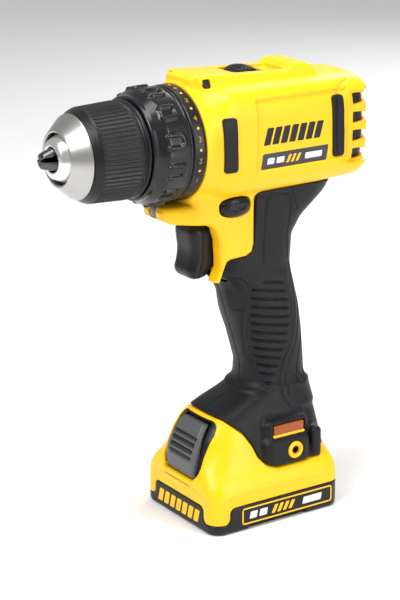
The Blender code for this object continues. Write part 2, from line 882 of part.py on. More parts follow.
def make_controls():
    trigger_side = [
        (2.6, 140.4),
        (-9.4, 140.4),
        (-9.0, 136.0),
        (-8.6, 131.0),
        (-9.2, 126.0),
        (-10.4, 121.0),
        (-9.8, 116.8),
        (-7.0, 115.2),
        (-1.2, 116.4),
        (2.6, 121.5),
    ]
    trigger = plate("trigger", [trigger_side], 16.4, black_nylon())
    bevel(trigger, 1.6)
    join(trigger, box("trigger_stem", (-2, 1.5, 127), (2, 11.8, 131)))
    switch = box("switch_body", (-8.8, 12.6, 117), (8.8, 33.0, 140), black_nylon(), 0.8)
    cut(switch, box("stem_hole", (-2.4, 10, 126.5), (2.4, 22, 131.5)))
    wire("trigger_spring", coil(4.8, 3.4, 11.7, 3.5, 129, 10), 0.45, steel(), 0)
    oval("direction_bar", 7.4, 149.5, 7.6, 4.2, 21.0, black_nylon())
    selector = box("speed_selector", (-6.6, 14.4, 204.0), (6.6, 30.0, 206.0), black_nylon())
    join(selector, box("selector_knob", (-5.6, 17.0, 205.0), (5.6, 25.0, 208.4), None, 1.0))
    fork = box("shift_fork", (-4.0, 5.4, 200.9), (4.0, 24.0, 202.3), steel())
    leg = box("fork_leg", (-4.0, 5.4, AXIS_Z + 18.3), (4.0, 7.6, 202.0))
    pin = box("fork_pin", (-2.0, 18.0, 201.5), (2.0, 22.0, 203.7))
    join(fork, leg, pin)
    rod("led_lens", (0, -25.4, 148.6), (0, -17.6, 148.6), 2.8, material("clear_lens", (0.9, 0.9, 0.9), 0.1))


# ---------------------------------------------------------------- foot and battery


def make_foot_parts():
    amber = material("amber_lens", (0.75, 0.2, 0.02), 0.15)
    lens = box("gauge_lens", (16.5, 24.6, 39.9), (22.8, 41.4, 44.5), amber, 0.6)
    block = box("terminal_block", (-10.6, 28.0, 37.0), (10.6, 48.0, 43.0), black_nylon(), 0.6)
    for x in (-5.0, 5.0):
        join(block, box(f"blade_{x:+.0f}", (x - 0.4, 31.5, 28.2), (x + 0.4, 44.5, 38.5)))
    for side, name in ((1, "left"), (-1, "right")):
        ring = plate(f"hook_insert_{name}", [circle(3.9, 20), circle(1.7, 12)], 3.2, brass())
        ring.location = Vector((side * 25.4, 34.7, 32.4)) * MM
    return lens


# The release button from the side: up its bulging front, and its back from the top down
BUTTON_FRONT = [(-10.9, 22.4), (-11.6, 28.0), (-10.9, 34.0), (-8.4, 40.0), (-4.8, 45.0), (-3.2, 46.5)]
BUTTON_BACK = [(-0.8, 46.1), (-1.4, 45.0), (-4.2, 40.0), (-6.4, 34.0), (-7.0, 28.0), (-6.3, 22.4)]
BUTTON_TRAVEL = 2.0


def make_battery():
    shell_outline = rounded_rectangle(BATTERY_Y, BATTERY_HALF_WIDTH, BATTERY_HALF_LENGTH, 5)
    inner = rounded_rectangle(BATTERY_Y, BATTERY_HALF_WIDTH - 1.4, BATTERY_HALF_LENGTH - 1.6, 1.6)
    low = TRAY_TOP + GAP
    shell = plate(
        "battery_shell",
        [shell_outline],
        SHOULDER_Z - low,
        yellow_nylon(),
        "TOP",
        (0, 0, (SHOULDER_Z + low) / 2),
    )
    bevel(shell, 1.4, 2, 60)
    above = [(y - 0.1, z - 0.25) for y, z in SEAT]
    above_seat = [(-40, above[0][1]), *above, (90, above[-1][1]), (90, 120), (-40, 120)]
    tower = upright_loft("battery_tower", FOOT, 0.0)
    socket = box("terminal_tower", (-9, 30, 24), (9, 46, 35.6), None, 0.8)
    cavity = plate("cell_space", [inner], 21.0, None, "TOP", (0, 0, 12.0))
    join(shell, tower)
    cut(shell, side_prism("above_seat", above_seat, 60))
    join(shell, socket)
    cut(shell, cavity)
    for x in (-5.0, 5.0):
        cut(shell, box(f"blade_slot_{x:+.0f}", (x - 0.9, 30.9, 27.4), (x + 0.9, 45.1, 40)))
    back = [(y + BUTTON_TRAVEL + 0.5, z) for y, z in BUTTON_BACK[1:-1]]
    room = [(-30, 21.9), (-30, 46.9), (back[0][0] + 0.5, 46.9), *back, (back[-1][0] + 0.9, 21.9)]
    cut(shell, side_prism("button_room", room, 12.1))
    tray = plate(
        "battery_tray", [shell_outline], TRAY_TOP, black_nylon(), "TOP", (0, 0, TRAY_TOP / 2)
    )
    bevel(tray, 1.2, 2, 60)
    floor = plate("tray_space", [inner], TRAY_TOP, None, "TOP", (0, 0, 1.6 + TRAY_TOP / 2))
    cut(tray, floor)
    for side, name in ((1, "left"), (-1, "right")):
        low_x, high_x = sorted((side * (BATTERY_HALF_WIDTH - 0.7), side * 40))
        cut(tray, box(f"tray_relief_{name}", (low_x, 6.0, -1), (high_x, 42.0, 3.0)))
    for index, x in enumerate((-18.3, 0.0, 18.3)):
        start = (x, BATTERY_Y - 32.5, 10.8)
        end = (x, BATTERY_Y + 32.5, 10.8)
        rod(f"cell_{index + 1}", start, end, 9.0, material("cell_wrap", (0.1, 0.3, 0.2), 0.4), 24)
    plate("release_button", [BUTTON_FRONT + BUTTON_BACK], 23.0, grey_nylon())


def main():
    global parts, cutters
    clear_scene()
    parts = new_collection("cordless_drill")
    cutters = new_collection("cutters")
    make_chuck()
    make_clutch()
    make_gearbox()
    make_motor()
    make_housing()
    make_grips()
    make_screws()
    make_controls()
    make_foot_parts()
    make_battery()


main()
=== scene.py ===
"""Looks of the cordless drill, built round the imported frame.

Most outer pieces are modelled as distance fields: a function that is negative inside the piece,
in millimetres. A grid of its values is meshed, and each point is then moved onto the exact surface.
"""

import functools
import json
import math
from concurrent.futures import ThreadPoolExecutor

import bmesh
import bpy
import numpy as np
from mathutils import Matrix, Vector


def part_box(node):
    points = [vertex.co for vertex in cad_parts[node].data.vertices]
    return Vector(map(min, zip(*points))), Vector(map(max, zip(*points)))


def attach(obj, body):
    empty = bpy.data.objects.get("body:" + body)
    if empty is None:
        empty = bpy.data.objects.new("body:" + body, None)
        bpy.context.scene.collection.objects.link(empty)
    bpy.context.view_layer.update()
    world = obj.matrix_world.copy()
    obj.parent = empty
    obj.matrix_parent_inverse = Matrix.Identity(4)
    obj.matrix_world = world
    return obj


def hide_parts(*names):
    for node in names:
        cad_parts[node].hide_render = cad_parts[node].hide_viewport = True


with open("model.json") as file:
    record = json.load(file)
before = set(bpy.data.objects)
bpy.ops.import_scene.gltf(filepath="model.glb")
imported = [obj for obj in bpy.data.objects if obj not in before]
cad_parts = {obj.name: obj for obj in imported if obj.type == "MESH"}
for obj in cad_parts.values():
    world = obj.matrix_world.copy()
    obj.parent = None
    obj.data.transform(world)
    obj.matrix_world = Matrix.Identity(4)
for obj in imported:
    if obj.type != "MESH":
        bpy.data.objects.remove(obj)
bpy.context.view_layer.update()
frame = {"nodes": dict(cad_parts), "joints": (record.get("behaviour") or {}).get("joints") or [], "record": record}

MM = 0.001
JOINTS = {joint["name"]: joint for joint in frame["joints"]}


def cad(node):
    """Lowest and highest corner of a CAD node, in millimetres."""
    low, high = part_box(node)
    return [v / MM for v in low], [v / MM for v in high]


AXIS_Z = JOINTS["output_spin"]["pos_m"][2] / MM
HOUSING_LOW, HOUSING_HIGH = cad("housing_left")
REAR_Y = HOUSING_HIGH[1]
TOP_Z = HOUSING_HIGH[2]
FRONT_Y = cad("torque_scale")[1][1] + 0.4
BATTERY_LOW, BATTERY_HIGH = cad("battery_tray")
BATTERY_X = BATTERY_HIGH[0]
BATTERY_FRONT, BATTERY_REAR = BATTERY_LOW[1], BATTERY_HIGH[1]
BATTERY_Y = (BATTERY_FRONT + BATTERY_REAR) / 2
TRAY_TOP = BATTERY_HIGH[2] + 0.15
SHOULDER_Z = TRAY_TOP + 11.5
PARTING = 0.03  # half the gap between the two housing halves
FIT = 0.12  # gap between a piece and the one it sits in
WALL = 2.2  # thickness of the housing
SKIN = 2.0  # thickness of the soft grip
SIDES = ((1, "left"), (-1, "right"))
BAR_Y, BAR_Z = 7.4, 149.5  # middle of the direction bar
LAMP_Z = 148.6
INSERT_Y, INSERT_Z = 34.7, 32.4  # middle of the threaded insert on each side of the foot

# Sections of the motor housing along Y: (y, half width, half height, squareness)
HEAD = [
    (FRONT_Y - 6, 26.0, 26.0, 2.0),
    (-9.6, 26.0, 26.0, 2.0),
    (-5.5, 25.0, 25.0, 2.5),
    (2.0, 24.9, 25.2, 4.0),
    (50.0, 24.4, 24.6, 4.2),
    (70.0, 23.8, 24.0, 4.0),
    (REAR_Y + 2, 22.6, 22.8, 3.6),
]
# Sections of the handle along Z: (z, front y, rear y, half width, squareness)
HANDLE = [
    (50.0, 20.0, 55.5, 16.4, 2.6),
    (60.0, 22.0, 54.2, 14.7, 2.5),
    (70.0, 22.0, 53.9, 14.5, 2.4),
    (85.0, 17.5, 52.5, 15.0, 2.4),
    (97.0, 13.5, 50.2, 15.5, 2.5),
    (107.0, 10.6, 47.4, 15.4, 2.6),
    (113.0, 7.0, 45.6, 15.3, 2.8),
    (117.5, 0.5, 44.7, 15.2, 3.0),
    (131.0, 3.0, 44.6, 15.5, 3.4),
    (139.0, 4.0, 49.5, 16.2, 3.4),
    (149.0, 4.0, 62.0, 17.4, 3.4),
    (160.0, 4.0, 69.0, 19.0, 3.4),
]
# Sections of the foot: (z, front y, rear y, half width, squareness)
FOOT = [
    (SHOULDER_Z - 3.0, -10.9, 59.6, 26.4, 5.0),
    (28.0, -10.5, 59.0, 24.4, 4.8),
    (34.0, -9.4, 58.4, 22.8, 4.4),
    (40.0, -7.2, 57.8, 21.4, 4.0),
    (45.0, -4.0, 57.2, 19.8, 3.8),
    (49.0, -0.6, 56.6, 18.2, 3.4),
    (52.0, 4.0, 56.0, 17.0, 3.0),
    (55.0, 11.0, 55.4, 15.8, 2.8),
    (58.0, 19.0, 54.8, 14.6, 2.6),
]
# Where the foot rests in the battery, seen from the side: (y, z)
SEAT = [
    (-3.0, 51.2), (3.5, 49.0), (10.2, 43.0), (14.1, 36.9), (16.3, 31.5), (20.0, 27.5), (25.7, 25.6),
    (50.0, 25.6), (54.0, 28.5),
]
# Side outline of the yellow frame round the trigger: (y, z)
CHIN = [
    (-12.9, 166.0), (-12.9, 151.2), (-24.6, 151.0), (-25.6, 148.8), (-24.6, 145.4), (-20.5, 143.3),
    (-4.6, 141.9), (-1.2, 139.4), (0.6, 134.0), (1.3, 122.0), (-2.0, 115.3), (0.5, 114.8), (2.2, 120.0),
    (4.0, 124.2), (6.0, 125.0), (14.0, 125.4), (17.2, 127.0), (18.3, 131.0), (18.3, 168.0),
]
# Side outline of the top block and of the hump behind the speed selector: (y, z)
TOP_BLOCK = [
    (-12.9, 195.0), (-12.6, 203.0), (-11.8, 206.4), (-9.0, 208.0), (-2.0, 207.7), (12.0, 206.8),
    (38.6, 205.8), (41.5, 208.2), (44.0, TOP_Z - 0.2), (49.6, TOP_Z - 0.4), (51.8, 206.6), (53.4, 203.0),
    (54.0, 195.0),
]


def screw_place(node):
    """A housing screw's place seen from the side, and how far out its head reaches."""
    low, high = cad(node)
    return (low[1] + high[1]) / 2, (low[2] + high[2]) / 2, low[0]


SCREWS = [screw_place(f"housing_screw_{i}") for i in range(1, 5)]


# ---------------------------------------------------------------- fields


def smooth_min(a, b, k):
    h = np.clip(0.5 + 0.5 * (b - a) / k, 0, 1)
    return b + (a - b) * h - k * h * (1 - h)


def smooth_max(a, b, k):
    return -smooth_min(-a, -b, k)


def step(value, low, high):
    """0 below low, 1 above high, and smooth between them."""
    t = np.clip((value - low) / (high - low), 0, 1)
    return t * t * (3 - 2 * t)


def follow(at, table, soften):
    """The columns of a table of sections, read at each place, with their corners softened."""
    places, *columns = zip(*table)
    spread = np.linspace(-soften, soften, 7)
    return [sum(np.interp(at + s, places, column) for s in spread) / 7 for column in columns]


def superellipse(u, v, half_u, half_v, squareness):
    u, v = np.abs(u) / half_u, np.abs(v) / half_v
    return ((u**squareness + v**squareness) ** (1 / squareness) - 1) * np.minimum(half_u, half_v)


def to_segment(u, v, start, end):
    """Squared distance to a straight line between two points in a plane."""
    (au, av), (bu, bv) = start, end
    eu, ev = bu - au, bv - av
    t = np.clip(((u - au) * eu + (v - av) * ev) / (eu * eu + ev * ev), 0, 1)
    return (u - au - eu * t) ** 2 + (v - av - ev * t) ** 2


def polygon(u, v, points):
    """Signed distance to a closed outline in a plane."""
    best, inside = np.inf, False
    for start, end in zip(points, points[1:] + points[:1]):
        best = np.minimum(best, to_segment(u, v, start, end))
        (au, av), (bu, bv) = start, end
        slope = (bu - au) / (bv - av) if bv != av else 0.0
        inside = inside ^ (((av > v) != (bv > v)) & (u < au + slope * (v - av)))
    return np.where(inside, -1, 1) * np.sqrt(best)


def stroke(u, v, points):
    """Distance to an open line in a plane."""
    best = np.inf
    for start, end in zip(points, points[1:]):
        best = np.minimum(best, to_segment(u, v, start, end))
    return np.sqrt(best)


def smooth_line(points, per_span=6):
    """Points along a Catmull-Rom curve through the given ones."""
    p = np.array([points[0], *points, points[-1]], float)
    found = []
    for a, b, c, d in zip(p, p[1:], p[2:], p[3:]):
        for i in range(per_span):
            t = i / per_span
            linear = 2 * b + (c - a) * t
            found.append(0.5 * (linear + (2 * a - 5 * b + 4 * c - d) * t**2 + (3 * b - a - 3 * c + d) * t**3))
    found.append(p[-1])
    return [tuple(q) for q in found]


def rounded(places, low, high, radius):
    """Signed distance to a rectangle or a box with rounded edges."""
    found = [np.abs(p - (a + b) / 2) - (b - a) / 2 + radius for p, a, b in zip(places, low, high)]
    outside = sum(np.maximum(d, 0) ** 2 for d in found) ** 0.5
    return outside + np.minimum(functools.reduce(np.maximum, found), 0) - radius


def rounded_box(x, y, z, low, high, radius):
    return rounded((x, y, z), low, high, radius)


def rectangle(u, v, low, high, radius):
    return rounded((u, v), low, high, radius)


def on_side(side, low, high):
    """A box on the left side, or its mirror image on the right."""
    if side > 0:
        return low, high
    return (-high[0], *low[1:]), (-low[0], *high[1:])


def groove(distance, width, depth):
    """How deep a soft-edged groove is at a distance from its line."""
    return depth * np.exp(-((distance / width) ** 2))


# ---------------------------------------------------------------- meshing

SOLIDS = []
SLAB = 24  # grid planes worked on at once
CHUNK = 30000  # points moved at once


def surface_net(values, low, steps):
    """Vertices and quads of a grid's zero level, with one vertex in each cell that it crosses."""
    inside = values < 0
    cells = tuple(n - 1 for n in values.shape)
    shifts = [(i, j, k) for i in (0, 1) for j in (0, 1) for k in (0, 1)]
    count = np.zeros(cells, np.int8)
    for i, j, k in shifts:
        count += inside[i : i + cells[0], j : j + cells[1], k : k + cells[2]]
    active = (count > 0) & (count < 8)
    where = np.argwhere(active)
    corner = np.stack([values[tuple((where + s).T)] for s in shifts], 1)
    total, crossings = np.zeros((len(where), 3)), np.zeros(len(where))
    for a in range(8):
        for b in range(a + 1, 8):
            move = np.subtract(shifts[b], shifts[a])
            if np.abs(move).sum() != 1:
                continue
            crossed = (corner[:, a] < 0) != (corner[:, b] < 0)
            t = np.where(crossed, corner[:, a] / (corner[:, a] - corner[:, b] + 1e-30), 0)
            total += crossed[:, None] * (np.array(shifts[a]) + t[:, None] * move)
            crossings += crossed
    vertices = np.array(low) + (where + total / crossings[:, None]) * np.array(steps)
    index = np.full(cells, -1, np.int64)
    index[tuple(where.T)] = np.arange(len(where))
    quads = []
    for axis in range(3):
        ahead, up = np.eye(3, dtype=int)[(axis + 1) % 3], np.eye(3, dtype=int)[(axis + 2) % 3]
        first = np.take(inside, range(0, cells[axis]), axis)
        second = np.take(inside, range(1, cells[axis] + 1), axis)
        edge = np.argwhere(first != second)
        edge = edge[np.all(edge >= ahead + up, 1) & np.all(edge < cells, 1)]
        ring = [index[tuple((edge - shift).T)] for shift in (ahead + up, up, 0 * up, ahead)]
        quad = np.stack(ring, 1)
        leaves = first[tuple(edge.T)]
        quads.append(np.where(leaves[:, None], quad, quad[:, ::-1]))
    return vertices, np.concatenate(quads)


def settle(field, vertices, reach, rounds=2):
    """Moves points onto the zero level of a field, by its slope."""
    v = vertices.copy()
    h = 0.04
    corners = ((1, -1, -1), (-1, -1, 1), (-1, 1, -1), (1, 1, 1))
    for _ in range(rounds):
        for first in range(0, len(v), CHUNK):
            part = v[first : first + CHUNK]
            slope, value = 0, 0
            for corner in corners:
                at = part + np.multiply(corner, h)
                found = field(at[:, 0], at[:, 1], at[:, 2])
                slope = slope + found[:, None] * np.array(corner) / (4 * h)
                value = value + found / 4
            move = -value[:, None] * slope / ((slope**2).sum(1) + 1e-6)[:, None]
            length = np.linalg.norm(move, axis=1)
            part += move * np.minimum(1, reach / (length + 1e-9))[:, None]
    return v


def finish_object(name, mesh, finish, body, replaced):
    obj = bpy.data.objects.new(name, mesh)
    bpy.context.scene.collection.objects.link(obj)
    mesh.materials.append(finish)
    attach(obj, body)
    if replaced:
        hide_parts(*replaced)
    return obj


def solid(name, field, low, high, grid, finish, body, slot, replaced=()):
    """Plans a piece whose field lies between two corners. grid is its step in millimetres."""
    SOLIDS.append((name, field, low, high, grid, finish, body, slot, replaced))


def measured(plan):
    """The vertices and quads of a planned piece."""
    _, field, low, high, grid, *_ = plan
    steps = (grid,) * 3 if isinstance(grid, (int, float)) else grid
    axes = [np.arange(a - 2 * s, b + 2.5 * s, s) for a, b, s in zip(low, high, steps)]
    x, y, z = (axes[i].reshape([-1 if i == j else 1 for j in range(3)]) for i in range(3))
    slabs = []
    for first in range(0, len(axes[1]), SLAB):
        some = y[:, first : first + SLAB]
        shape = (len(axes[0]), some.shape[1], len(axes[2]))
        slabs.append(np.broadcast_to(field(x, some, z), shape).astype(np.float32))
    vertices, quads = surface_net(np.concatenate(slabs, 1), [a[0] for a in axes], steps)
    return settle(field, vertices, 0.35 * min(steps)), quads


def make_solids():
    """Meshes the planned pieces side by side, and adds them in the order they were planned."""
    with ThreadPoolExecutor(4) as pool:
        for plan, (vertices, quads) in zip(SOLIDS, pool.map(measured, SOLIDS)):
            name, *_, finish, body, slot, replaced = plan
            mesh = bpy.data.meshes.new(name)
            mesh.from_pydata((vertices * MM).tolist(), [], quads.tolist())
            mesh.validate()
            mesh.shade_smooth()
            finish_object(name, mesh, finish, body, replaced)


def turned(name, profile, finish, body, replaced=(), around=96, relief=None, fine=0.8):
    """A ring or cone turned about the chuck axis from a closed loop of (radius, y) points.

    relief(angle, radius, y) gives how far each point moves outwards.
    """
    loop = []
    for (ra, ya), (rb, yb) in zip(profile, profile[1:] + profile[:1]):
        pieces = max(1, round(math.hypot(rb - ra, yb - ya) / fine))
        loop += [(ra + (rb - ra) * i / pieces, ya + (yb - ya) * i / pieces) for i in range(pieces)]
    radius, y = np.array(loop).T
    angle = np.arange(around) * 2 * math.pi / around
    radii = np.tile(radius, (around, 1))
    if relief:
        radii = radii + relief(angle[:, None], radius[None], y[None])
    x = radii * np.sin(angle)[:, None]
    z = AXIS_Z + radii * np.cos(angle)[:, None]
    points = np.stack([x, np.broadcast_to(y, x.shape), z], 2).reshape(-1, 3) * MM
    count = len(loop)
    faces = []
    for a in range(around):
        b = (a + 1) % around
        for i in range(count):
            j = (i + 1) % count
            faces.append((a * count + i, a * count + j, b * count + j, b * count + i))
    mesh = bpy.data.meshes.new(name)
    mesh.from_pydata(points.tolist(), [], faces)
    bm = bmesh.new()
    bm.from_mesh(mesh)
    bmesh.ops.recalc_face_normals(bm, faces=bm.faces)
    bm.to_mesh(mesh)
    bm.free()
    mesh.shade_smooth()
    mesh.set_sharp_from_angle(angle=math.radians(40))
    return finish_object(name, mesh, finish, body, replaced)


# ---------------------------------------------------------------- materials


def surface(
    name, color, rough, metal=0.0, grain=0.0, grain_size=0.4, tone=0.06, wear=0.0, coat=0.0, brushed=None, gloss=0.5
):
    """A moulded or machined finish.

    grain is the height of its texture in millimetres and grain_size its scale, tone how much the
    colour varies, wear how far edges lighten, and brushed the directions in which lines run.
    """
    made = bpy.data.materials.new(name)
    made.use_nodes = True
    nodes, links = made.node_tree.nodes, made.node_tree.links
    shader = nodes["Principled BSDF"]
    shader.inputs["Metallic"].default_value = metal
    shader.inputs["Coat Weight"].default_value = coat
    shader.inputs["Coat Roughness"].default_value = 0.12
    shader.inputs["Specular IOR Level"].default_value = gloss
    place = nodes.new("ShaderNodeTexCoord")

    def noise(scale, detail=3.0, stretch=None):
        texture = nodes.new("ShaderNodeTexNoise")
        texture.inputs["Scale"].default_value = scale
        texture.inputs["Detail"].default_value = detail
        if stretch:
            mapping = nodes.new("ShaderNodeMapping")
            mapping.inputs["Scale"].default_value = stretch
            links.new(place.outputs["Object"], mapping.inputs["Vector"])
            links.new(mapping.outputs["Vector"], texture.inputs["Vector"])
        else:
            links.new(place.outputs["Object"], texture.inputs["Vector"])
        return texture.outputs["Fac"]

    def ramp(value, low, high):
        node = nodes.new("ShaderNodeMapRange")
        node.inputs["To Min"].default_value = low
        node.inputs["To Max"].default_value = high
        links.new(value, node.inputs["Value"])
        return node.outputs["Result"]

    def mix(factor, first, second):
        node = nodes.new("ShaderNodeMix")
        node.data_type = "RGBA"
        if isinstance(factor, float):
            node.inputs["Factor"].default_value = factor
        else:
            links.new(factor, node.inputs["Factor"])
        for socket, value in ((node.inputs[6], first), (node.inputs[7], second)):
            if isinstance(value, tuple):
                socket.default_value = (*value, 1)
            else:
                links.new(value, socket)
        return node.outputs[2]

    darker = tuple(c * (1 - tone) for c in color)
    lighter = tuple(min(1.0, c * (1 + tone) + tone * 0.02) for c in color)
    shade = mix(noise(60), darker, lighter)
    if wear:
        edge = nodes.new("ShaderNodeNewGeometry").outputs["Pointiness"]
        sharp = nodes.new("ShaderNodeMapRange")
        sharp.inputs["From Min"].default_value = 0.52
        sharp.inputs["From Max"].default_value = 0.60
        sharp.inputs["To Max"].default_value = wear
        links.new(edge, sharp.inputs["Value"])
        shade = mix(sharp.outputs["Result"], shade, tuple(min(1.0, c * 1.6 + 0.05) for c in color))
    links.new(shade, shader.inputs["Base Color"])
    lines = noise(900, 2.0, brushed) if brushed else noise(140)
    links.new(ramp(lines, rough * 0.8, min(1.0, rough * 1.2)), shader.inputs["Roughness"])
    if grain:
        bump = nodes.new("ShaderNodeBump")
        bump.inputs["Distance"].default_value = grain * MM
        bump.inputs["Strength"].default_value = 1.0
        height = lines if brushed else noise(1 / (grain_size * MM), 2.0)
        links.new(height, bump.inputs["Height"])
        links.new(bump.outputs["Normal"], shader.inputs["Normal"])
    return made


WORN = {"tone": 0.2, "wear": 0.03}
YELLOW = surface("yellow moulded nylon", (0.98, 0.555, 0.002), 0.34, grain=0.05, grain_size=0.5, tone=0.03, gloss=0.4)
RUBBER = surface("black overmould", (0.0055, 0.0052, 0.007), 0.44, grain=0.07, grain_size=0.35, gloss=0.24, **WORN)
BLACK = surface("black moulded nylon", (0.005, 0.005, 0.0065), 0.32, grain=0.035, gloss=0.3, **WORN)
GLOSS_BLACK = surface("polished black nylon", (0.004, 0.004, 0.0055), 0.2, grain=0.012, tone=0.2, gloss=0.42)
GREY = surface("grey moulded nylon", (0.085, 0.085, 0.09), 0.34, grain=0.04, grain_size=0.4, tone=0.1, wear=0.1)
SATIN = surface("satin turned steel", (0.46, 0.455, 0.44), 0.3, 1.0, grain=0.01, tone=0.05, brushed=(1, 60, 1))
BRIGHT = surface("bright machined steel", (0.82, 0.82, 0.81), 0.18, 1.0, grain=0.006, tone=0.04, brushed=(1, 60, 1))
DARK = surface("phosphated steel", (0.10, 0.098, 0.095), 0.28, 1.0, grain=0.02, tone=0.25, wear=0.4)
CAST = surface("cast alloy", (0.42, 0.42, 0.43), 0.5, 1.0, grain=0.08, grain_size=0.6, tone=0.1)
COPPER = surface("turned copper", (0.72, 0.34, 0.18), 0.3, 1.0, grain=0.01, brushed=(1, 60, 1))
BRASS = surface("turned brass", (0.62, 0.30, 0.07), 0.32, 1.0, grain=0.01, brushed=(60, 1, 1))
AMBER = surface("amber lens", (0.34, 0.065, 0.002), 0.16, grain=0.01, tone=0.35, gloss=0.5)
LENS = surface("clear lens", (0.09, 0.095, 0.105), 0.1, grain=0.01, tone=0.1, coat=0.6)
WRAP = surface("cell wrap", (0.03, 0.16, 0.10), 0.3, grain=0.01, tone=0.2)
# black for real print, and for the painted shade behind the vents, in the left recesses and in the button's well
PRINT_AND_SHADE_BLACK = surface("black print and painted shade", (0.007, 0.007, 0.008), 0.4, grain=0.01, tone=0.2, gloss=0.35)
PLATE_GREY = surface("dark grey print", (0.040, 0.036, 0.046), 0.38, grain=0.01, tone=0.2, gloss=0.4)
WHITE = surface("white print", (0.75, 0.75, 0.75), 0.45, grain=0.01, tone=0.05)


# ---------------------------------------------------------------- housing and grip fields


def head_field(x, y, z):
    """The round-cornered motor housing, with a domed rear."""
    half_x, half_z, squareness = follow(y, HEAD, 1.6)
    skin = superellipse(x, z - AXIS_Z, half_x, half_z, squareness)
    skin = np.maximum(skin, FRONT_Y - y)
    bulge = REAR_Y - (x**2 + (z - AXIS_Z) ** 2) / 260
    return smooth_max(skin, y - bulge, 3.5)


def block_field(x, y, z):
    """The block on top, whose front corners are cut off."""
    side = (np.abs(x) - 11.4 - 0.55 * (207.0 - z)) / 1.14
    nose = (np.abs(x) - 8.4 - 0.8 * (y + 12.6)) / 1.28
    return smooth_max(polygon(y, z, TOP_BLOCK), smooth_max(side, nose, 0.8), 1.0)


def chin_field(x, y, z):
    """The yellow frame round the trigger and the lamp."""
    half = np.interp(y, [-26, -20, -10, 2, 8], [8.0, 10.5, 14.6, 16.6, 17.0])
    return smooth_max(polygon(y, z, CHIN), np.abs(x) - half, 3.0)


def column(x, y, z, table, soften, low, high):
    """An upright shape from a table of its sections along Z."""
    front, rear, half_x, squareness = follow(z, table, soften)
    shape = superellipse(x, y - (front + rear) / 2, half_x, (rear - front) / 2, squareness)
    return np.maximum(shape, np.maximum(low - z, z - high))


def foot_field(x, y, z):
    return column(x, y, z, FOOT, 1.0, SHOULDER_Z - 3, 58)


def handle_and_foot(x, y, z):
    return smooth_min(column(x, y, z, HANDLE, 1.5, 52, 162), foot_field(x, y, z), 7.0)


def seat_outline(lift):
    line = [(y + lift * 0.4, z + lift) for y, z in SEAT]
    return [(-60, line[0][1]), *line, (90, line[-1][1]), (90, -20), (-60, -20)]


def panelled_head(x, y, z):
    """The motor housing's outside, with its side panels and the rear cap sunk into it."""
    side = np.abs(x)
    head = head_field(x, y, z)
    in_height = step(z, 165.5, 166.5) * (1 - step(z, 196.0, 197.4))
    panel = step(y, 13.3, 14.2) * (1 - step(y, 63.2, 64.0)) * in_height
    vents = step(y, 64.6, 65.4) * step(z, 162.2, 163.0) * (1 - step(z, 194.4, 195.2))
    cap = groove(stroke(y, z, CAP_LINE), 0.5, 0.6)
    return head + step(side, 15, 19) * (1.05 * panel + 1.5 * vents + cap)


def yellow_skin(x, y, z):
    """The yellow housing's outside, without its holes."""
    head = panelled_head(x, y, z)
    shape = smooth_min(head, block_field(x, y, z), 1.4)
    return smooth_min(shape, chin_field(x, y, z), 3.2)


def rear_slots(x, y, z):
    found = np.inf
    for row in range(4):
        middle = AXIS_Z + 13.0 - 8.3 * row
        slot = polygon(y, z - middle, [(67.8, 2.5), (72.0, 2.3), (80.4, 1.0), (80.4, -1.4), (67.8, -2.1)])
        found = np.minimum(found, slot - 0.25)
    return np.maximum(found, 14 - np.abs(x))


def left_marks(x, y, z):
    """Plugged recesses in the left side: two at the rear corners, and one on the top block's front corner. Their
    black plugs are painted shade for these hollows.
    """
    found = np.minimum(np.hypot(y - 75.6, z - 199.4), np.hypot(y - 75.6, z - 158.6)) - 1.7
    corner = rectangle(y, z, (-7.0, 202.4), (-2.8, 206.2), 1.0)
    return np.maximum(np.minimum(found, corner), 8 - x)


def trigger_room(x, y, z):
    return rounded_box(x, y, z, (-8.7, -30, 112.6), (8.7, 12.5, 141.2), 0.8)


def switch_room(x, y, z):
    """Room behind the trigger, for its stem and the switch."""
    return rounded_box(x, y, z, (-9.6, 10, 116), (9.6, 24, 141.2), 0.8)


def lens_box(x, y, z, low_x, high_x, spare, radius):
    """The charge lens in the left side of the foot, and the room that it needs."""
    return rounded_box(x, y, z, (low_x, 24.4 - spare, 39.7 - spare), (high_x, 41.6 + spare, 44.7 + spare), radius)


def yellow_holes(x, y, z, side):
    """Everything cut through the yellow housing. side is 1 for the left half and -1 for the right."""
    mouth = np.hypot(x, z - AXIS_Z) - 21.4
    mouth = np.maximum(mouth, y)
    inside = panelled_head(x, y, z) + WALL
    inside = np.maximum(inside, FRONT_Y + 2.4 - y)
    if side < 0:
        for screw_y, screw_z, head_x in SCREWS:
            boss = np.maximum(np.hypot(y - screw_y, z - screw_z) - 4.8, x - head_x - 5.0)
            inside = np.maximum(inside, -boss)
    chin_inside = np.maximum(chin_field(x, y, z) + 2.6, z - 160)
    chin_inside = np.maximum(chin_inside, -13.0 - y)
    block_inside = rounded_box(x, y, z, (-8.2, -2, 190), (8.2, 47, 203.0), 0.5)
    holes = np.minimum(np.minimum(mouth, inside), np.minimum(chin_inside, block_inside))
    recess = rounded_box(x, y, z, (-7.4, 12.8, 203.8), (7.4, 39.0, 214), 1.6)
    slot = rounded_box(x, y, z, (-5.0, 14.0, 196), (5.0, 37.0, 206), 0.5)
    direction = np.maximum(superellipse(y - BAR_Y, z - BAR_Z, 8.1, 4.7, 2.6), 12 - np.abs(x))
    lamp = np.maximum(np.hypot(x, z - LAMP_Z) - 3.1, np.maximum(y + 17.2, -40 - y))
    rooms = (recess, slot, trigger_room(x, y, z), switch_room(x, y, z), direction, lamp, rear_slots(x, y, z))
    for cut in rooms:
        holes = np.minimum(holes, cut)
    if side > 0:
        holes = np.minimum(holes, np.maximum(left_marks(x, y, z), -(yellow_skin(x, y, z) + 3.0)))
    if side < 0:
        for screw_y, screw_z, head_x in SCREWS:
            tunnel = np.maximum(np.hypot(y - screw_y, z - screw_z) - 3.1, x - head_x - 2.8)
            holes = np.minimum(holes, tunnel)
    return holes


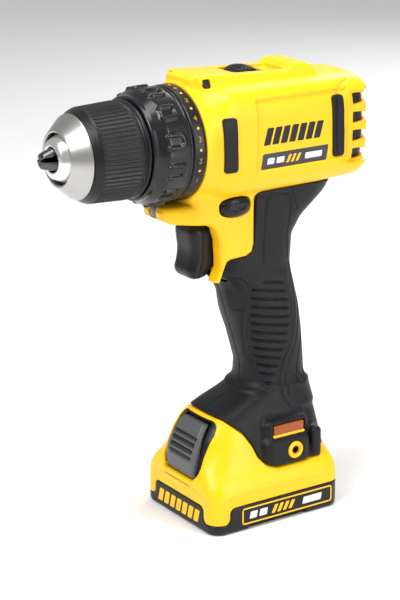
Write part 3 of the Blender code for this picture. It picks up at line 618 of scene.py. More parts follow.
def core_field(x, y, z):
    """The hard inner wall of the handle and the foot, under the soft grip."""
    shape = handle_and_foot(x, y, z) + SKIN + 0.25
    wall = np.maximum(shape, -(shape + 1.9))
    return np.maximum(wall, -polygon(y, z, seat_outline(0.3)))


def housing(side):
    def field(x, y, z):
        shape = np.maximum(yellow_skin(x, y, z), -yellow_holes(x, y, z, side))
        core = np.maximum(core_field(x, y, z), z - 158)
        for cut in (lens_box(x, y, z, 14, 40, 0.4, 0.4), trigger_room(x, y, z), switch_room(x, y, z)):
            core = np.maximum(core, -cut)
        shape = np.minimum(shape, core)
        seam = PARTING - x * side
        return smooth_max(shape, seam, 0.5)

    return field


def make_housing():
    low = (0, HOUSING_LOW[1] - 0.5, SHOULDER_Z)
    high = (27, REAR_Y + 0.5, TOP_Z + 0.5)
    for side, name in SIDES:
        box = on_side(side, low, high)
        solid(f"shell_{name}", housing(side), *box, FINE, YELLOW, "frame", "yellow_nylon", [f"housing_{name}"])


# Grooves of the soft grip, seen from the side: (y, z)
GRIP_LINES = [
    smooth_line([(39.6, 118), (42.2, 107), (42.8, 92), (40.6, 81), (36.2, 71), (34.2, 62), (35.0, 55), (38.5, 50.5)]),
    smooth_line([(43.4, 112), (45.6, 101), (45.6, 89), (43.2, 79.5), (39.2, 71), (37.4, 63), (38.2, 56)]),
    smooth_line([(5, 112.4), (11, 114.6), (16.2, 111), (17.4, 104), (17, 97), (18.4, 88), (21, 76), (21.9, 66)]),
    smooth_line([(24.0, 120.6), (23.8, 136), (23.9, 148), (26.0, 152.6), (31.0, 152.6), (36.2, 151.0), (37.6, 145)]),
    smooth_line([(37.6, 145), (37.2, 132), (38.6, 120.5)]),
    smooth_line([(37.0, 154), (39.6, 147.6), (41.6, 143.6)]),
    smooth_line([(49.6, 84), (46.4, 76), (44.4, 67), (45.4, 60.4), (48.6, 59.6), (50.4, 64), (50.6, 74)]),
    smooth_line([(8.0, 98.6), (12.0, 98.0), (17.0, 98.6)]),
]
# Where the finger ribs are
RIB_ZONE = [
    (18.2, 109.4), (18.4, 98.0), (20.4, 86.0), (23.4, 74.0), (26.4, 62.0), (28.6, 59.0), (31.6, 61.0),
    (34.6, 69.0), (39.0, 80.0), (40.6, 91.0), (39.4, 102.0), (36.0, 110.4), (27.0, 113.6),
]
RIB_PITCH = 4.1
# Edge of the rear cap, on the side of the motor housing
CAP_LINE = smooth_line(
    [(66.5, 199.5), (60.2, 197.4), (57.8, 192.0), (57.0, 183), (58.0, 169), (61.6, 164.5), (72.3, 162.3)]
)
# The part of the side outline that the soft grip leaves to the yellow frame
GRIP_LIMIT = [
    (-60, 230), (-60, 114.3), (0.6, 114.3), (2.6, 119.8), (4.2, 123.7), (6.1, 124.6), (14.1, 125.0),
    (17.6, 126.7), (18.7, 130.9), (18.7, 157.0), (20.3, 158.9), (90, 158.9), (90, 230),
]


def grip_relief(x, y, z):
    """How far the soft grip's pattern sinks below its smooth outside."""
    side = step(np.abs(x), 4.0, 8.0)
    sunk = 0
    for line in GRIP_LINES:
        sunk = sunk + groove(stroke(y, z, line), 0.42, 0.5)
    zone = polygon(y, z, RIB_ZONE)
    within = 1 - step(zone, -1.6, 0.2)
    phase = (z + 0.16 * (y - 28)) / RIB_PITCH
    wave = phase - np.floor(phase)
    ribs = 0.95 * (1 - step(wave, 0.0, 0.34)) + 0.95 * step(wave, 0.86, 1.0)
    border = groove(np.abs(zone), 0.8, 0.35)
    return side * (np.minimum(sunk, 0.6) + within * ribs + 0.3 * within + border)


def grip(side):
    def field(x, y, z):
        outer = handle_and_foot(x, y, z)
        thumb = 1.1 * np.exp(-(((y - 12) / 6.5) ** 2) - ((z - 105.5) / 6.5) ** 2) * step(np.abs(x), 3, 8)
        shape = outer + grip_relief(x, y, z) + thumb
        boss = rounded_box(np.abs(x), y, z, (8, 18.8, 23.4), (27.15, 44.4, 39.6), 4.4)
        boss = smooth_max(boss, 26.2 - z, 1.0)
        heel = rounded_box(np.abs(x), y, z, (8, 45.8, 24.4), (25.6, 51.6, 39.8), 2.4)
        shelf = rounded_box(np.abs(x), y, z, (8, 20.8, 36.0), (24.2, 44.8, 47.0), 3.0)
        shape = smooth_min(shape, shelf, 3.0)
        shape = smooth_min(shape, smooth_min(boss, heel, 0.4), 1.4)
        shape = np.maximum(shape, -(outer + SKIN))
        shape = np.maximum(shape, -polygon(y, z, GRIP_LIMIT))
        shape = smooth_max(shape, -polygon(y, z, seat_outline(0.3)), 0.5)
        shape = np.maximum(shape, -(head_field(x, y, z) - 0.3))
        shape = smooth_max(shape, -lens_box(x, y, z, 15, 45, 0.5, 0.6), 0.5)
        insert = np.maximum(np.hypot(y - INSERT_Y, z - INSERT_Z) - 4.2, 23.4 - np.abs(x))
        shape = smooth_max(shape, -insert, 0.4)
        shape = np.maximum(shape, -trigger_room(x, y, z))
        return smooth_max(shape, PARTING - x * side, 0.5)

    return field


def make_grips():
    for side, name in SIDES:
        box = on_side(side, (0, -12, SHOULDER_Z), (28, 66, 160))
        solid(f"soft_grip_{name}", grip(side), *box, FINE, RUBBER, "frame", "black_rubber", [f"grip_{name}"])


# ---------------------------------------------------------------- what lies on the housing


def on_skin(skin, region, lift, depth=0.5):
    """A field for a thin plate that follows a skin inside a flat region."""

    def field(x, y, z):
        body = skin(x, y, z)
        return smooth_max(np.maximum(body - lift, -(body + depth)), region(x, y, z), 0.12)

    return field


def slanted(y0, y1, z0, z1, lean=0.18, radius=0.3):
    """A leaning rectangle on the side of the drill."""

    def region(x, y, z):
        return rectangle(y + lean * (z - (z0 + z1) / 2), z, (y0, z0), (y1, z1), radius)

    return region


def union_of(regions):
    def region(x, y, z):
        found = regions[0](x, y, z)
        for other in regions[1:]:
            found = np.minimum(found, other(x, y, z))
        return found

    return region


PRINT_GRID = (0.12, 0.3, 0.3)  # grid of a thin print on the side


def make_side_plates():
    """Rubber bars, a dark name plate with plain marks, and a plain striped emblem, on each side."""

    def add(part, side, box, regions, finish, slot, lift, depth=0.5, grid=PRINT_GRID):
        y0, y1, z0, z1 = box
        corners = on_side(side, (19.5, y0 - 2, z0 - 1), (26.5, y1 + 2, z1 + 1))
        field = on_skin(yellow_skin, union_of(regions), lift, depth)
        solid(f"side_{part}", field, *corners, grid, finish, "frame", slot)

    for side, name in SIDES:
        for part, *box in (("front", -4.4, 2.6, 167.2, 191.2), ("rear", 55.2, 61.6, 166.6, 194.4)):
            regions = [slanted(*box, 0.03, 1.7)]
            add(f"bar_{part}_{name}", side, box, regions, RUBBER, "black_rubber", 0.8, 1.6, (0.2, 0.35, 0.35))
        box = (16, 53, 165, 174)
        plate = [slanted(16.6, 52.6, 165.9, 172.9, -0.14 * side, 0.7)]
        add(f"plate_{name}", side, box, plate, PLATE_GREY, "black_nylon", 0.16)
        spans = ((19.4, 23.2), (24.4, 28.6), (40.0, 49.4))
        marks = [slanted(a, b, 168.0, 170.8, -0.14 * side, 0.3) for a, b in spans]
        add(f"marks_{name}", side, box, marks, WHITE, "yellow_nylon", 0.24)
        ticks = [slanted(30.4 + 2.6 * i, 31.9 + 2.6 * i, 167.6, 171.2, -0.5 * side, 0.2) for i in range(3)]
        add(f"ticks_{name}", side, box, ticks, YELLOW, "yellow_nylon", 0.24)
        bars = [slanted(18.4 + 4.55 * i, 21.9 + 4.55 * i, 176.6, 184.2, -0.28 * side, 0.5) for i in range(7)]
        add(f"emblem_{name}", side, (16, 54, 175, 186), bars, PRINT_AND_SHADE_BLACK, "black_nylon", 0.16)


def make_inner_liner():
    """Painted shade: a dark screen behind the rear vents, standing in for the shade inside the housing, and dark
    plugs at the bottoms of the left side's recesses, standing in for the shade in these hollows.
    """

    # painted shade: a black sheet at the inside of the wall, seen through the rear vents
    def screen(x, y, z):
        skin = panelled_head(x, y, z)
        shape = np.maximum(skin + WALL - 0.4, -(skin + WALL + 0.5))
        zone = rectangle(y, z, (65.4, 161.8), (78.0, 196.0), 1.0)
        return np.maximum(np.maximum(shape, zone), 12 - np.abs(x))

    solid("vent_screen", screen, (-24, 64, 158), (24, 79, 199), 0.5, PRINT_AND_SHADE_BLACK, "frame", "black_nylon")

    # painted shade: black plugs at the bottoms of the left side's recesses keep these hollows dark
    def plugs(x, y, z):
        skin = yellow_skin(x, y, z)
        return np.maximum(np.maximum(skin + 0.9, -(skin + 2.9)), left_marks(x, y, z) + 0.12)

    solid("left_plugs", plugs, (8, -8, 156), (25, 79, 208), 0.35, PRINT_AND_SHADE_BLACK, "frame", "black_nylon")


def make_controls():
    front = [(-8.2, 140.4), (-9.5, 137.6), (-9.2, 133.0), (-8.6, 128.4), (-9.2, 123.4), (-10.2, 119.4)]
    front = smooth_line([*front, (-8.8, 116.4), (-5.6, 115.2)], 4)
    outline = [(4.0, 140.4), *front, (-1.2, 116.2), (4.0, 121.5)]
    crease_line = [(-3.6, 142), (-3.4, 134), (-3.8, 126), (-5.4, 119), (-5.8, 114)]

    def trigger(x, y, z):
        shape = smooth_max(polygon(y, z, outline), np.abs(x) - 8.3, 4.6)
        shape = shape + groove(stroke(y, z, crease_line), 0.45, 0.5) * step(np.abs(x), 4, 6)
        stem = rounded_box(x, y, z, (-2, 1, 127), (2, 11.8, 131), 0.3)
        return np.minimum(shape, stem)

    solid("trigger_key", trigger, *cad("trigger"), 0.35, BLACK, "trigger", "black_nylon", ["trigger"])

    def bar(x, y, z):
        across, up = y - BAR_Y, z - BAR_Z
        shape = superellipse(across, up, 7.6, 4.2, 2.6)
        end = np.abs(x) - 19.4 + 0.035 * (across**2 + 1.5 * up**2)
        shape = smooth_max(shape, end, 1.2)
        arrow = polygon(across, up, [(-4.2, 0), (-1, 2.3), (-1, 1), (4, 1), (4, -1), (-1, -1), (-1, -2.3)])
        return shape + 0.45 * (1 - step(arrow, -0.2, 0.3)) * step(np.abs(x), 14, 16)

    place = cad("direction_bar")
    solid("direction_button", bar, *place, 0.35, BLACK, "direction", "black_nylon", ["direction_bar"])

    def selector(x, y, z):
        plate = rounded_box(x, y, z, (-6.6, 14.4, 204.0), (6.6, 30.0, 205.8), 0.5)
        half = 5.7 - 0.035 * (y - 21.6) ** 2
        knob = smooth_max(np.abs(x) - half, np.abs(y - 21.9) - 7.6, 1.5)
        crown = z - (208.45 - 0.045 * (y - 21.0) ** 2 - 0.025 * x * x)
        ridges = groove(np.abs((y - 21 + 10) % 2.0 - 1.0), 0.35, 0.5) * step(z, 206.6, 207.2)
        knob = smooth_max(knob, np.maximum(crown, 203.5 - z), 0.7) + ridges
        return smooth_min(plate, knob, 0.4)

    place = cad("speed_selector")
    solid("speed_knob", selector, *place, 0.3, BLACK, "speed", "black_nylon", ["speed_selector"])

    def lamp(x, y, z):
        shape = smooth_max(np.hypot(x, z - LAMP_Z) - 2.8, -25.2 - y + 0.06 * (x * x + (z - LAMP_Z) ** 2), 0.5)
        return np.maximum(shape, y + 17.7)

    solid("lamp_lens", lamp, *cad("led_lens"), 0.25, LENS, "frame", "clear_lens", ["led_lens"])


def make_foot_details():
    def gauge(x, y, z):
        shape = lens_box(x, y, z, 16.5, 24.3, 0.0, 0.9)
        return shape + groove(np.abs((y - 24.4) % 5.75 - 2.9) - 2.9, 0.25, 0.15)

    solid("gauge_window", gauge, (16, 24, 39), (25, 42, 45.2), 0.3, AMBER, "frame", "amber_lens", ["gauge_lens"])

    def ring(x, y, z):
        from_circle = np.hypot(y - INSERT_Y, z - INSERT_Z) - 3.1
        return np.hypot(from_circle, np.abs(x) - 27.0) - 0.95

    for side, name in SIDES:
        box = on_side(side, (25.6, 30, 28), (28.2, 39, 37))
        solid(f"insert_ring_{name}", ring, *box, 0.22, YELLOW, "frame", "yellow_nylon")

    def gauge_rim(x, y, z):
        return rounded_box(x, y, z, (17, 24.2, 38.9), (24.7, 41.8, 40.3), 0.6)

    solid("gauge_rim", gauge_rim, (17, 24, 38.6), (25, 42, 40.6), 0.2, YELLOW, "frame", "yellow_nylon")


# ---------------------------------------------------------------- battery


def battery_outline(x, y, z):
    """The battery's box: upright at its foot and sloping in towards its shoulder."""
    slope = np.maximum(z - TRAY_TOP - 3.0, 0) * 0.22
    du = np.abs(x) - (BATTERY_X - slope) + 6.5
    dv = np.abs(y - BATTERY_Y) - (BATTERY_REAR - BATTERY_Y - 0.6 * slope) + 6.5
    return np.hypot(np.maximum(du, 0), np.maximum(dv, 0)) + np.minimum(np.maximum(du, dv), 0) - 6.5


def yellow_zone(x, y, z):
    """Negative where the battery's shell is, which dips below the tray's edge at the front corners."""
    from_corner = np.maximum(BATTERY_X - np.abs(x), y - BATTERY_FRONT)
    dip = rectangle(from_corner, z, (-9.0, TRAY_TOP - 7.6), (9.0, 60), 3.0)
    return smooth_min(TRAY_TOP - z, dip, 3.4)


def cell_room(x, y, z):
    """The hollow of the battery, for its cells."""
    reach = BATTERY_REAR - BATTERY_Y - 1.6
    low = (-(BATTERY_X - 1.4), BATTERY_Y - reach, 1.6)
    high = (BATTERY_X - 1.4, BATTERY_Y + reach, 22.4)
    return np.maximum(rounded_box(x, y, z, low, high, 1.2), battery_skin(x, y, z) + 1.3)


def battery_skin(x, y, z):
    """The battery's outside: a low box that runs up into a tower round the foot."""
    base = smooth_max(battery_outline(x, y, z), z - SHOULDER_Z - 0.6, 7.0)
    tower = foot_field(x, y, z)
    flute = 1.2 * np.exp(-(((np.abs(x) - 18.6) / 3.0) ** 2)) * (1 - step(y, -7, 4))
    tower = tower + flute * step(z, 27, 37) * (1 - step(z, 37, 50))
    shape = smooth_min(base, tower, 6.0)
    return smooth_max(shape, -z, 0.8)


BUTTON_HALF = cad("release_button")[1][0]
# Side outlines of the release button, and of the room that it moves in: (y, z)
BUTTON_FRONT = [(-10.9, 22.4), (-11.7, 26.0), (-11.6, 30.0), (-10.8, 34.4), (-8.6, 39.8), (-5.4, 44.7), (-3.8, 46.6)]
BUTTON_BACK = [(-0.8, 46.3), (-1.4, 45.0), (-4.2, 40.0), (-6.4, 34.0), (-7.0, 28.0), (-6.3, 22.4)]
BUTTON_ROOM = [(-40, 21.9), (-40, 47.2), (1.8, 47.2), (1.1, 45), (-1.7, 40), (-3.9, 34), (-4.5, 28), (-3.6, 21.9)]
BAR_PITCH = 3.1  # of the bars on the release button


def button_side(z):
    """Half width of the release button, which narrows towards its top."""
    return BUTTON_HALF - 0.2 - 2.4 * step(z, 30, 48)


def button_frame(x, z):
    """Outline, seen from the front, of the dark frame round the release button."""
    return rectangle(x, z, (-(BUTTON_HALF + 2.9), 22.4), (BUTTON_HALF + 2.9, 48.2), 5.5)


def button_wells(x, z):
    """Outline of the well that the button's grip bars stand in, whose black floor is painted shade, and of the bars
    in it.
    """
    well = rectangle(x, z, (-9.0, 30.6), (9.0, 41.2), 1.2)
    bars = np.inf
    for i in range(3):
        middle = 35.8 + BAR_PITCH * (i - 1) + 0.1
        bars = np.minimum(bars, rectangle(x, z, (-9.6, middle - 0.6), (9.6, middle + 0.6), 0.5))
    return well, bars


def make_battery():
    def pocket(x, y, z, spare):
        """The hollow in the shell that the dark frame fills."""
        deep = np.maximum(button_frame(x, z) - spare, y - 6)
        return np.maximum(deep, -(battery_skin(x, y, z) + 8.5))

    def room(x, y, z):
        half = BUTTON_HALF + 0.35 - 2.0 * step(z, 30, 48)
        return np.maximum(polygon(y, z, BUTTON_ROOM), np.abs(x) - half)

    def shell(x, y, z):
        shape = battery_skin(x, y, z)
        shape = smooth_max(shape, polygon(y, z, seat_outline(-0.3)), 0.7)
        socket = rounded_box(x, y, z, (-9, 30, 22), (9, 46, 35.6), 0.8)
        shape = np.minimum(shape, socket)
        for middle in (-5.0, 5.0):
            slot = rounded_box(x, y, z, (middle - 0.9, 30.9, 27.4), (middle + 0.9, 45.1, 40), 0.2)
            shape = np.maximum(shape, -slot)
        shape = smooth_max(shape, -pocket(x, y, z, FIT), 0.5)
        shape = np.maximum(shape, -room(x, y, z))
        shape = np.maximum(shape, -cell_room(x, y, z))
        return smooth_max(shape, yellow_zone(x, y, z) + FIT, 0.4)

    low = (-BATTERY_X, BATTERY_FRONT, 2.0)
    high = (BATTERY_X, BATTERY_REAR, cad("battery_shell")[1][2] + 0.5)
    solid("battery_cover", shell, low, high, FINE, YELLOW, "battery", "yellow_nylon", ["battery_shell"])

    def surround(x, y, z):
        shape = smooth_max(battery_skin(x, y, z) + 0.7, pocket(x, y, z, -FIT), 0.5)
        shape = smooth_max(shape, -room(x, y, z), 0.5)
        return np.maximum(shape, polygon(y, z, seat_outline(-0.6)))

    low, high = (-16, -13, 21), (16, 6, 49)
    solid("button_frame", surround, low, high, 0.35, BLACK, "battery", "black_nylon")

    def tray(x, y, z):
        shape = smooth_max(battery_outline(x, y, z), -z, 2.2)
        relief = rounded_box(np.abs(x), y, z, (BATTERY_X - 1.8, 8.0, -5), (BATTERY_X + 9, 40.0, 2.8), 1.2)
        shape = smooth_max(shape, -relief, 0.8)
        shape = np.maximum(shape, -cell_room(x, y, z))
        return smooth_max(shape, FIT - yellow_zone(x, y, z), 0.4)

    solid("battery_base", tray, BATTERY_LOW, BATTERY_HIGH, FINE, BLACK, "battery", "black_nylon", ["battery_tray"])

    def blank(x, y, z):
        """The release button before its well is sunk."""
        return smooth_max(polygon(y, z, BUTTON_FRONT + BUTTON_BACK), np.abs(x) - button_side(z), 1.8)

    def button(x, y, z):
        well, bars = button_wells(x, z)
        sunk = 1.7 * (1 - step(well, -0.5, 0.2)) * step(bars, -0.25, 0.3)
        low_bars = 0.35 * (1 - step(well, -0.5, 0.2))
        return blank(x, y, z) + np.maximum(sunk, low_bars) * (1 - step(y, -6.5, -4.0))

    place = cad("release_button")
    solid("battery_button", button, *place, 0.28, GREY, "release", "grey_nylon", ["release_button"])

    # painted shade: a black floor in the button's well, between its grip bars, darkens the well
    def well_floor(x, y, z):
        shape = blank(x, y, z)
        well, bars = button_wells(x, z)
        depth = np.maximum(shape + 0.8, -(shape + 2.4))
        return np.maximum(np.maximum(depth, y + 3.0), np.maximum(well + 0.1, 0.35 - bars))

    low, high = (-10, -12, 30), (10, -3, 41.5)
    solid("button_well", well_floor, low, high, 0.28, PRINT_AND_SHADE_BLACK, "release", "black_nylon")


def make_battery_labels():
    """Plain label frames and marks on the black tray: one on each side, and a plate on the front."""

    def outline(x, y, z):
        return np.abs(rectangle(y, z, (4.0, 3.2), (54.4, 10.6), 1.2)) - 0.36

    for side, name in SIDES:
        box = on_side(side, (BATTERY_X - 1.2, 2, 2.4), (BATTERY_X + 0.6, 56, 11.6))
        spans = ((8.0, 12.0), (13.4, 17.6), (38.0, 48.6))
        marks = [slanted(a, b, 5.2, 8.6, -0.2 * side, 0.3) for a, b in spans]
        ticks = [slanted(21.0 + 3.2 * i, 22.9 + 3.2 * i, 4.9, 8.9, -0.5 * side, 0.2) for i in range(4)]
        prints = (("frame", [outline], YELLOW), ("marks", marks, WHITE), ("ticks", ticks, YELLOW))
        for part, regions, finish in prints:
            field = on_skin(battery_outline, union_of(regions), 0.16)
            solid(f"label_{part}_{name}", field, *box, PRINT_GRID, finish, "battery", "yellow_nylon")

    def front_marks(x, y, z):
        found = np.inf
        for i in range(7):
            left = -16.6 + 4.9 * i
            found = np.minimum(found, rectangle(x - 0.28 * (z - 6.4), z, (left, 3.3), (left + 3.6, 9.6), 0.5))
        return found

    low, high = (-19, BATTERY_FRONT - 0.8, 2.4), (19, BATTERY_FRONT + 1.2, 10.6)
    field = on_skin(battery_outline, front_marks, 0.16)
    solid("front_emblem", field, low, high, (0.3, 0.12, 0.3), YELLOW, "battery", "yellow_nylon")


# ---------------------------------------------------------------- chuck and clutch


NOSE_Y = cad("jaw_1")[0][1]
JAW_APEX = (0, NOSE_Y + 0.8, AXIS_Z)  # where the lines that the jaws slide along meet


def around_axis(x, y, z, profile):
    return polygon(np.hypot(x, z - AXIS_Z), y, profile)


def jaw_lines(index):
    """Outward and backward direction of a jaw, from its own joint."""
    back = Vector(JOINTS[f"jaw_{index}_slide"]["axis"])
    outward = Vector((back.x, 0, back.z)).normalized()
    return outward, back


def from_jaw_line(x, y, z, along):
    """Distance from the line that a jaw slides along, and the place along it."""
    dx, dy, dz = x - JAW_APEX[0], y - JAW_APEX[1], z - JAW_APEX[2]
    t = dx * along.x + dy * along.y + dz * along.z
    return np.sqrt(np.maximum(dx * dx + dy * dy + dz * dz - t * t, 0)), t


def make_jaws():
    def jaw(outward, back):
        around = Vector((0, 1, 0)).cross(outward)

        def field(x, y, z):
            across, along = from_jaw_line(x, y, z, back)
            zz = z - AXIS_Z
            out = x * outward.x + zz * outward.z
            aside = np.abs(x * around.x + zz * around.z)
            wedge = aside * math.cos(math.radians(60)) - out * math.sin(math.radians(60)) + 0.22
            shape = smooth_max(across - 3.35, wedge, 0.25)
            shape = smooth_max(shape, 0.4 - out, 0.2)
            tip = NOSE_Y - y + 0.55 * np.maximum(np.hypot(x, zz) - 2.2, 0)
            shape = smooth_max(shape, tip, 0.25)
            return np.maximum(shape, along - 20.0)

        return field

    for index in (1, 2, 3):
        node = f"jaw_{index}"
        solid(f"gripping_{node}", jaw(*jaw_lines(index)), *cad(node), 0.2, DARK, node, "dark_steel", [node])


def make_chuck():
    make_jaws()
    profile = [
        (0.0, -75.0), (6.4, -75.0), (8.2, -74.4), (10.7, -70.2), (10.7, -66.2), (8.6, -66.2), (10.4, -62.0),
        (15.9, -62.0), (15.9, -44.0), (11.0, -40.6), (0.0, -40.6),
    ]

    def body(x, y, z):
        shape = around_axis(x, y, z, profile)
        shape = smooth_max(shape, 5.4 - np.hypot(x, z - AXIS_Z), 0.3)
        for index in (1, 2, 3):
            _, back = jaw_lines(index)
            across, _ = from_jaw_line(x, y, z, back)
            shape = smooth_max(shape, 3.75 - across, 0.2)
        return shape

    reach = 17
    low, high = (-reach, -75.4, AXIS_Z - reach), (reach, -40, AXIS_Z + reach)
    solid("chuck_core", body, low, high, 0.35, BRIGHT, "output", "steel", ["chuck_body"])
    cone = [(11.3, -72.2), (11.9, -72.5), (12.5, -72.2), (18.2, -65.4), (18.4, -65.0), (16.4, -65.0), (11.3, -70.8)]
    turned("nose_cone", cone, SATIN, "output", ["nose_cap"], 144, fine=0.5)

    ribs = 64

    def sleeve_relief(angle, radius, y):
        outer = step(radius, 19.6, 20.0)
        zone = step(y, -60.6, -60.0) * (1 - step(y, -43.0, -42.4))
        wave = np.cos(angle * ribs)
        ridge = 0.30 * np.sign(wave) * np.abs(wave) ** 0.6 - 0.10
        rings = groove(np.abs(y + 41.4), 0.35, 0.5) + groove(np.abs(y + 39.9), 0.35, 0.5)
        return outer * (zone * ridge - rings)

    sleeve = [
        (15.4, -64.6), (17.6, -64.6), (18.2, -64.3), (20.2, -61.3), (20.5, -60.2), (21.3, -42.2),
        (21.4, -38.8), (21.0, -38.3), (18.4, -38.3), (18.4, -62.5), (15.4, -62.6),
    ]
    turned("ribbed_sleeve", sleeve, BLACK, "sleeve", ["chuck_sleeve"], ribs * 8, sleeve_relief, 0.5)


PADS = 12  # raised pads round the clutch ring


def make_clutch():
    profile = [
        (14.4, -37.9), (22.2, -37.9), (22.7, -37.4), (23.0, -35.6), (25.0, -32.2), (25.2, -31.2),
        (25.2, -20.3), (24.8, -19.8), (19.6, -19.8), (19.6, -36.0), (14.4, -36.0),
    ]

    def collar(x, y, z):
        shape = around_axis(x, y, z, profile)
        radius = np.hypot(x, z - AXIS_Z)
        turn = np.arctan2(x, z - AXIS_Z) / (2 * math.pi) * PADS
        aside = (turn - np.floor(turn) - 0.5) * 2 * math.pi * 25.4 / PADS
        pad = rectangle(aside, y, (-3.8, -32.8), (3.8, -23.4), 2.6)
        dish = rectangle(aside, y, (-2.0, -38.0), (2.0, -25.4), 1.6)
        raised = 1.15 * (1 - step(pad, -0.7, 0.5))
        raised = raised - 0.95 * (1 - step(dish, -0.6, 0.4)) * (1 - step(pad, -0.7, 0.5))
        outer = step(radius, 22.6, 23.4)
        ring = groove(np.abs(y + 21.4), 0.35, 0.45)
        return shape + outer * (ring - raised)

    reach = 26.6
    low, high = (-reach, -38.2, AXIS_Z - reach), (reach, -19.4, AXIS_Z + reach)
    solid("clutch_ring", collar, low, high, 0.32, GLOSS_BLACK, "clutch", "black_nylon", ["clutch_collar"])
    scale = [(19.6, -19.5), (24.9, -19.5), (25.3, -19.1), (25.5, -14.0), (25.2, -13.6), (19.6, -13.6)]
    turned("scale_ring", scale, BLACK, "frame", ["torque_scale"], 128)
    make_scale_marks()


PRINT_RADIUS, PRINT_Y = 25.56, -16.6  # where the scale's print lies


def wrapped(name, source, angle):
    """Lays a flat mesh on the scale ring, reading along it."""
    for vertex in source.vertices:
        turn = angle + vertex.co.y / PRINT_RADIUS
        x, z = PRINT_RADIUS * math.sin(turn), AXIS_Z + PRINT_RADIUS * math.cos(turn)
        vertex.co = Vector((x, PRINT_Y + vertex.co.x, z)) * MM
    return finish_object(name, source, YELLOW, "frame", ())


def text_mesh(words, size):
    curve = bpy.data.curves.new("number", "FONT")
    curve.body = words
    curve.size = size
    curve.align_x = "CENTER"
    curve.align_y = "CENTER"
    curve.extrude = 0.04
    holder = bpy.data.objects.new("number", curve)
    bpy.context.scene.collection.objects.link(holder)
    bpy.context.view_layer.update()
    mesh = bpy.data.meshes.new_from_object(holder.evaluated_get(bpy.context.evaluated_depsgraph_get()))
    bpy.data.objects.remove(holder)
    return mesh


def make_scale_marks():
    """Torque numbers 1 to 15 with dots between them, printed round the scale ring."""
    for number in range(1, 16):
        angle = math.radians(118 - 21 * (number - 1))
        mesh = text_mesh(str(number), 3.4)
        wrapped(f"scale_number_{number}", mesh, angle)
        bm = bmesh.new()
        bmesh.ops.create_circle(bm, cap_ends=True, radius=0.62, segments=16)
        dot = bpy.data.meshes.new("dot")
        bmesh.ops.recalc_face_normals(bm, faces=bm.faces)
        found = bmesh.ops.extrude_face_region(bm, geom=bm.faces[:])
        lifted = [v for v in found["geom"] if isinstance(v, bmesh.types.BMVert)]
        bmesh.ops.translate(bm, vec=(0, 0, 0.04), verts=lifted)
        bm.to_mesh(dot)
        bm.free()
        wrapped(f"scale_dot_{number}", dot, angle - math.radians(10.5))


# ---------------------------------------------------------------- carried-over nodes


SLOT_FINISH = {
    "steel": BRIGHT,
    "dark_steel": DARK,
    "cast_alloy": CAST,
    "copper": COPPER,
    "brass": BRASS,
    "black_nylon": BLACK,
    "grey_nylon": GREY,
    "cell_wrap": WRAP,
    "clear_lens": LENS,
    "amber_lens": AMBER,
    "yellow_nylon": YELLOW,
    "black_rubber": RUBBER,
}


def dress_frame():
    """Gives each CAD node the finish of its record slot."""
    for part in frame["record"]["subparts"]:
        obj = frame["nodes"][part["node"]]
        obj.data.materials.clear()
        obj.data.materials.append(SLOT_FINISH[part["material_slot"]])


# ---------------------------------------------------------------- stage


def make_stage():
    """A round pale floor that curves up into a wall. Sizes here are in metres."""
    flat, bend, top = 1.8, 1.2, 3.2
    rows = [(0.02, 0.0)] + [(flat * i / 6, 0.0) for i in range(1, 7)]
    for i in range(1, 17):
        angle = i / 16 * math.pi / 2
        rows.append((flat + bend * math.sin(angle), bend * (1 - math.cos(angle))))
    rows.append((flat + bend, top))
    around = 96
    turns = [2 * math.pi * i / around for i in range(around)]
    points = [(r * math.cos(a), r * math.sin(a), z) for r, z in rows for a in turns]
    faces = [tuple(range(around))]
    for row in range(len(rows) - 1):
        for i in range(around):
            j = (i + 1) % around
            a, b = row * around, (row + 1) * around
            faces.append((a + i, b + i, b + j, a + j))
    mesh = bpy.data.meshes.new("sweep")
    mesh.from_pydata(points, [], faces)
    mesh.shade_smooth()
    sweep = bpy.data.objects.new("sweep", mesh)
    bpy.context.scene.collection.objects.link(sweep)
    mesh.materials.append(surface("paper sweep", (0.88, 0.88, 0.88), 0.8, grain=0.02, grain_size=2.0, tone=0.01))
    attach(sweep, "battery")  # the battery leaves downwards, and the floor makes room for it


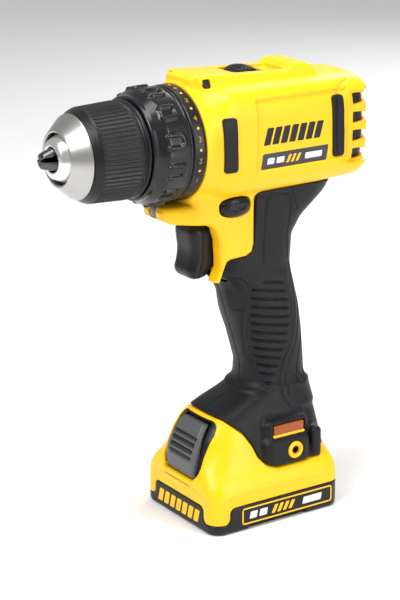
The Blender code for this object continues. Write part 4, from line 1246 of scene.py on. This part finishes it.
CAMERA_AZIMUTH = 56.0
CAMERA_ELEVATION = 17.6
CAMERA_DISTANCE = 0.862
CAMERA_LENS = 115.0
AIM = Vector((0.0, 0.0, 0.1035))


def direction(azimuth, elevation):
    """Unit vector from the drill: azimuth 0 is its nose and 90 its left side."""
    a, e = math.radians(azimuth), math.radians(elevation)
    return Vector((math.sin(a) * math.cos(e), -math.cos(a) * math.cos(e), math.sin(e)))


def look_at(obj, target):
    obj.rotation_euler = (target - obj.location).to_track_quat("-Z", "Y").to_euler()


def make_camera():
    data = bpy.data.cameras.new("camera")
    data.sensor_fit = "VERTICAL"
    data.sensor_height = 36.0
    data.lens = CAMERA_LENS
    camera = bpy.data.objects.new("camera", data)
    camera.location = AIM + direction(CAMERA_AZIMUTH, CAMERA_ELEVATION) * CAMERA_DISTANCE
    look_at(camera, AIM)
    bpy.context.scene.collection.objects.link(camera)
    bpy.context.scene.camera = camera


def make_light(name, azimuth, elevation, distance, size, power):
    data = bpy.data.lights.new(name, "AREA")
    data.shape = "RECTANGLE"
    data.size, data.size_y = size
    data.energy = power
    light = bpy.data.objects.new(name, data)
    light.location = AIM + direction(azimuth, elevation) * distance
    look_at(light, AIM)
    bpy.context.scene.collection.objects.link(light)


def make_lights():
    world = bpy.data.worlds.new("studio")
    world.use_nodes = True
    background = world.node_tree.nodes["Background"]
    background.inputs["Color"].default_value = (1, 1, 1, 1)
    background.inputs["Strength"].default_value = 0.5
    bpy.context.scene.world = world
    bpy.context.scene.view_settings.view_transform = "Standard"
    make_light("key", 14, 44, 1.1, (0.5, 0.5), 8.6)
    make_light("side_strip", 112, 18, 1.0, (0.2, 0.9), 4.6)
    make_light("top", 66, 84, 1.0, (0.7, 0.4), 6)
    make_light("rim", 215, 30, 1.2, (0.3, 0.9), 4)


FINE = 0.5

dress_frame()
make_housing()
make_grips()
make_side_plates()
make_inner_liner()
make_controls()
make_foot_details()
make_battery()
make_battery_labels()
make_chuck()
make_clutch()
make_solids()
make_camera()
make_stage()
make_lights()
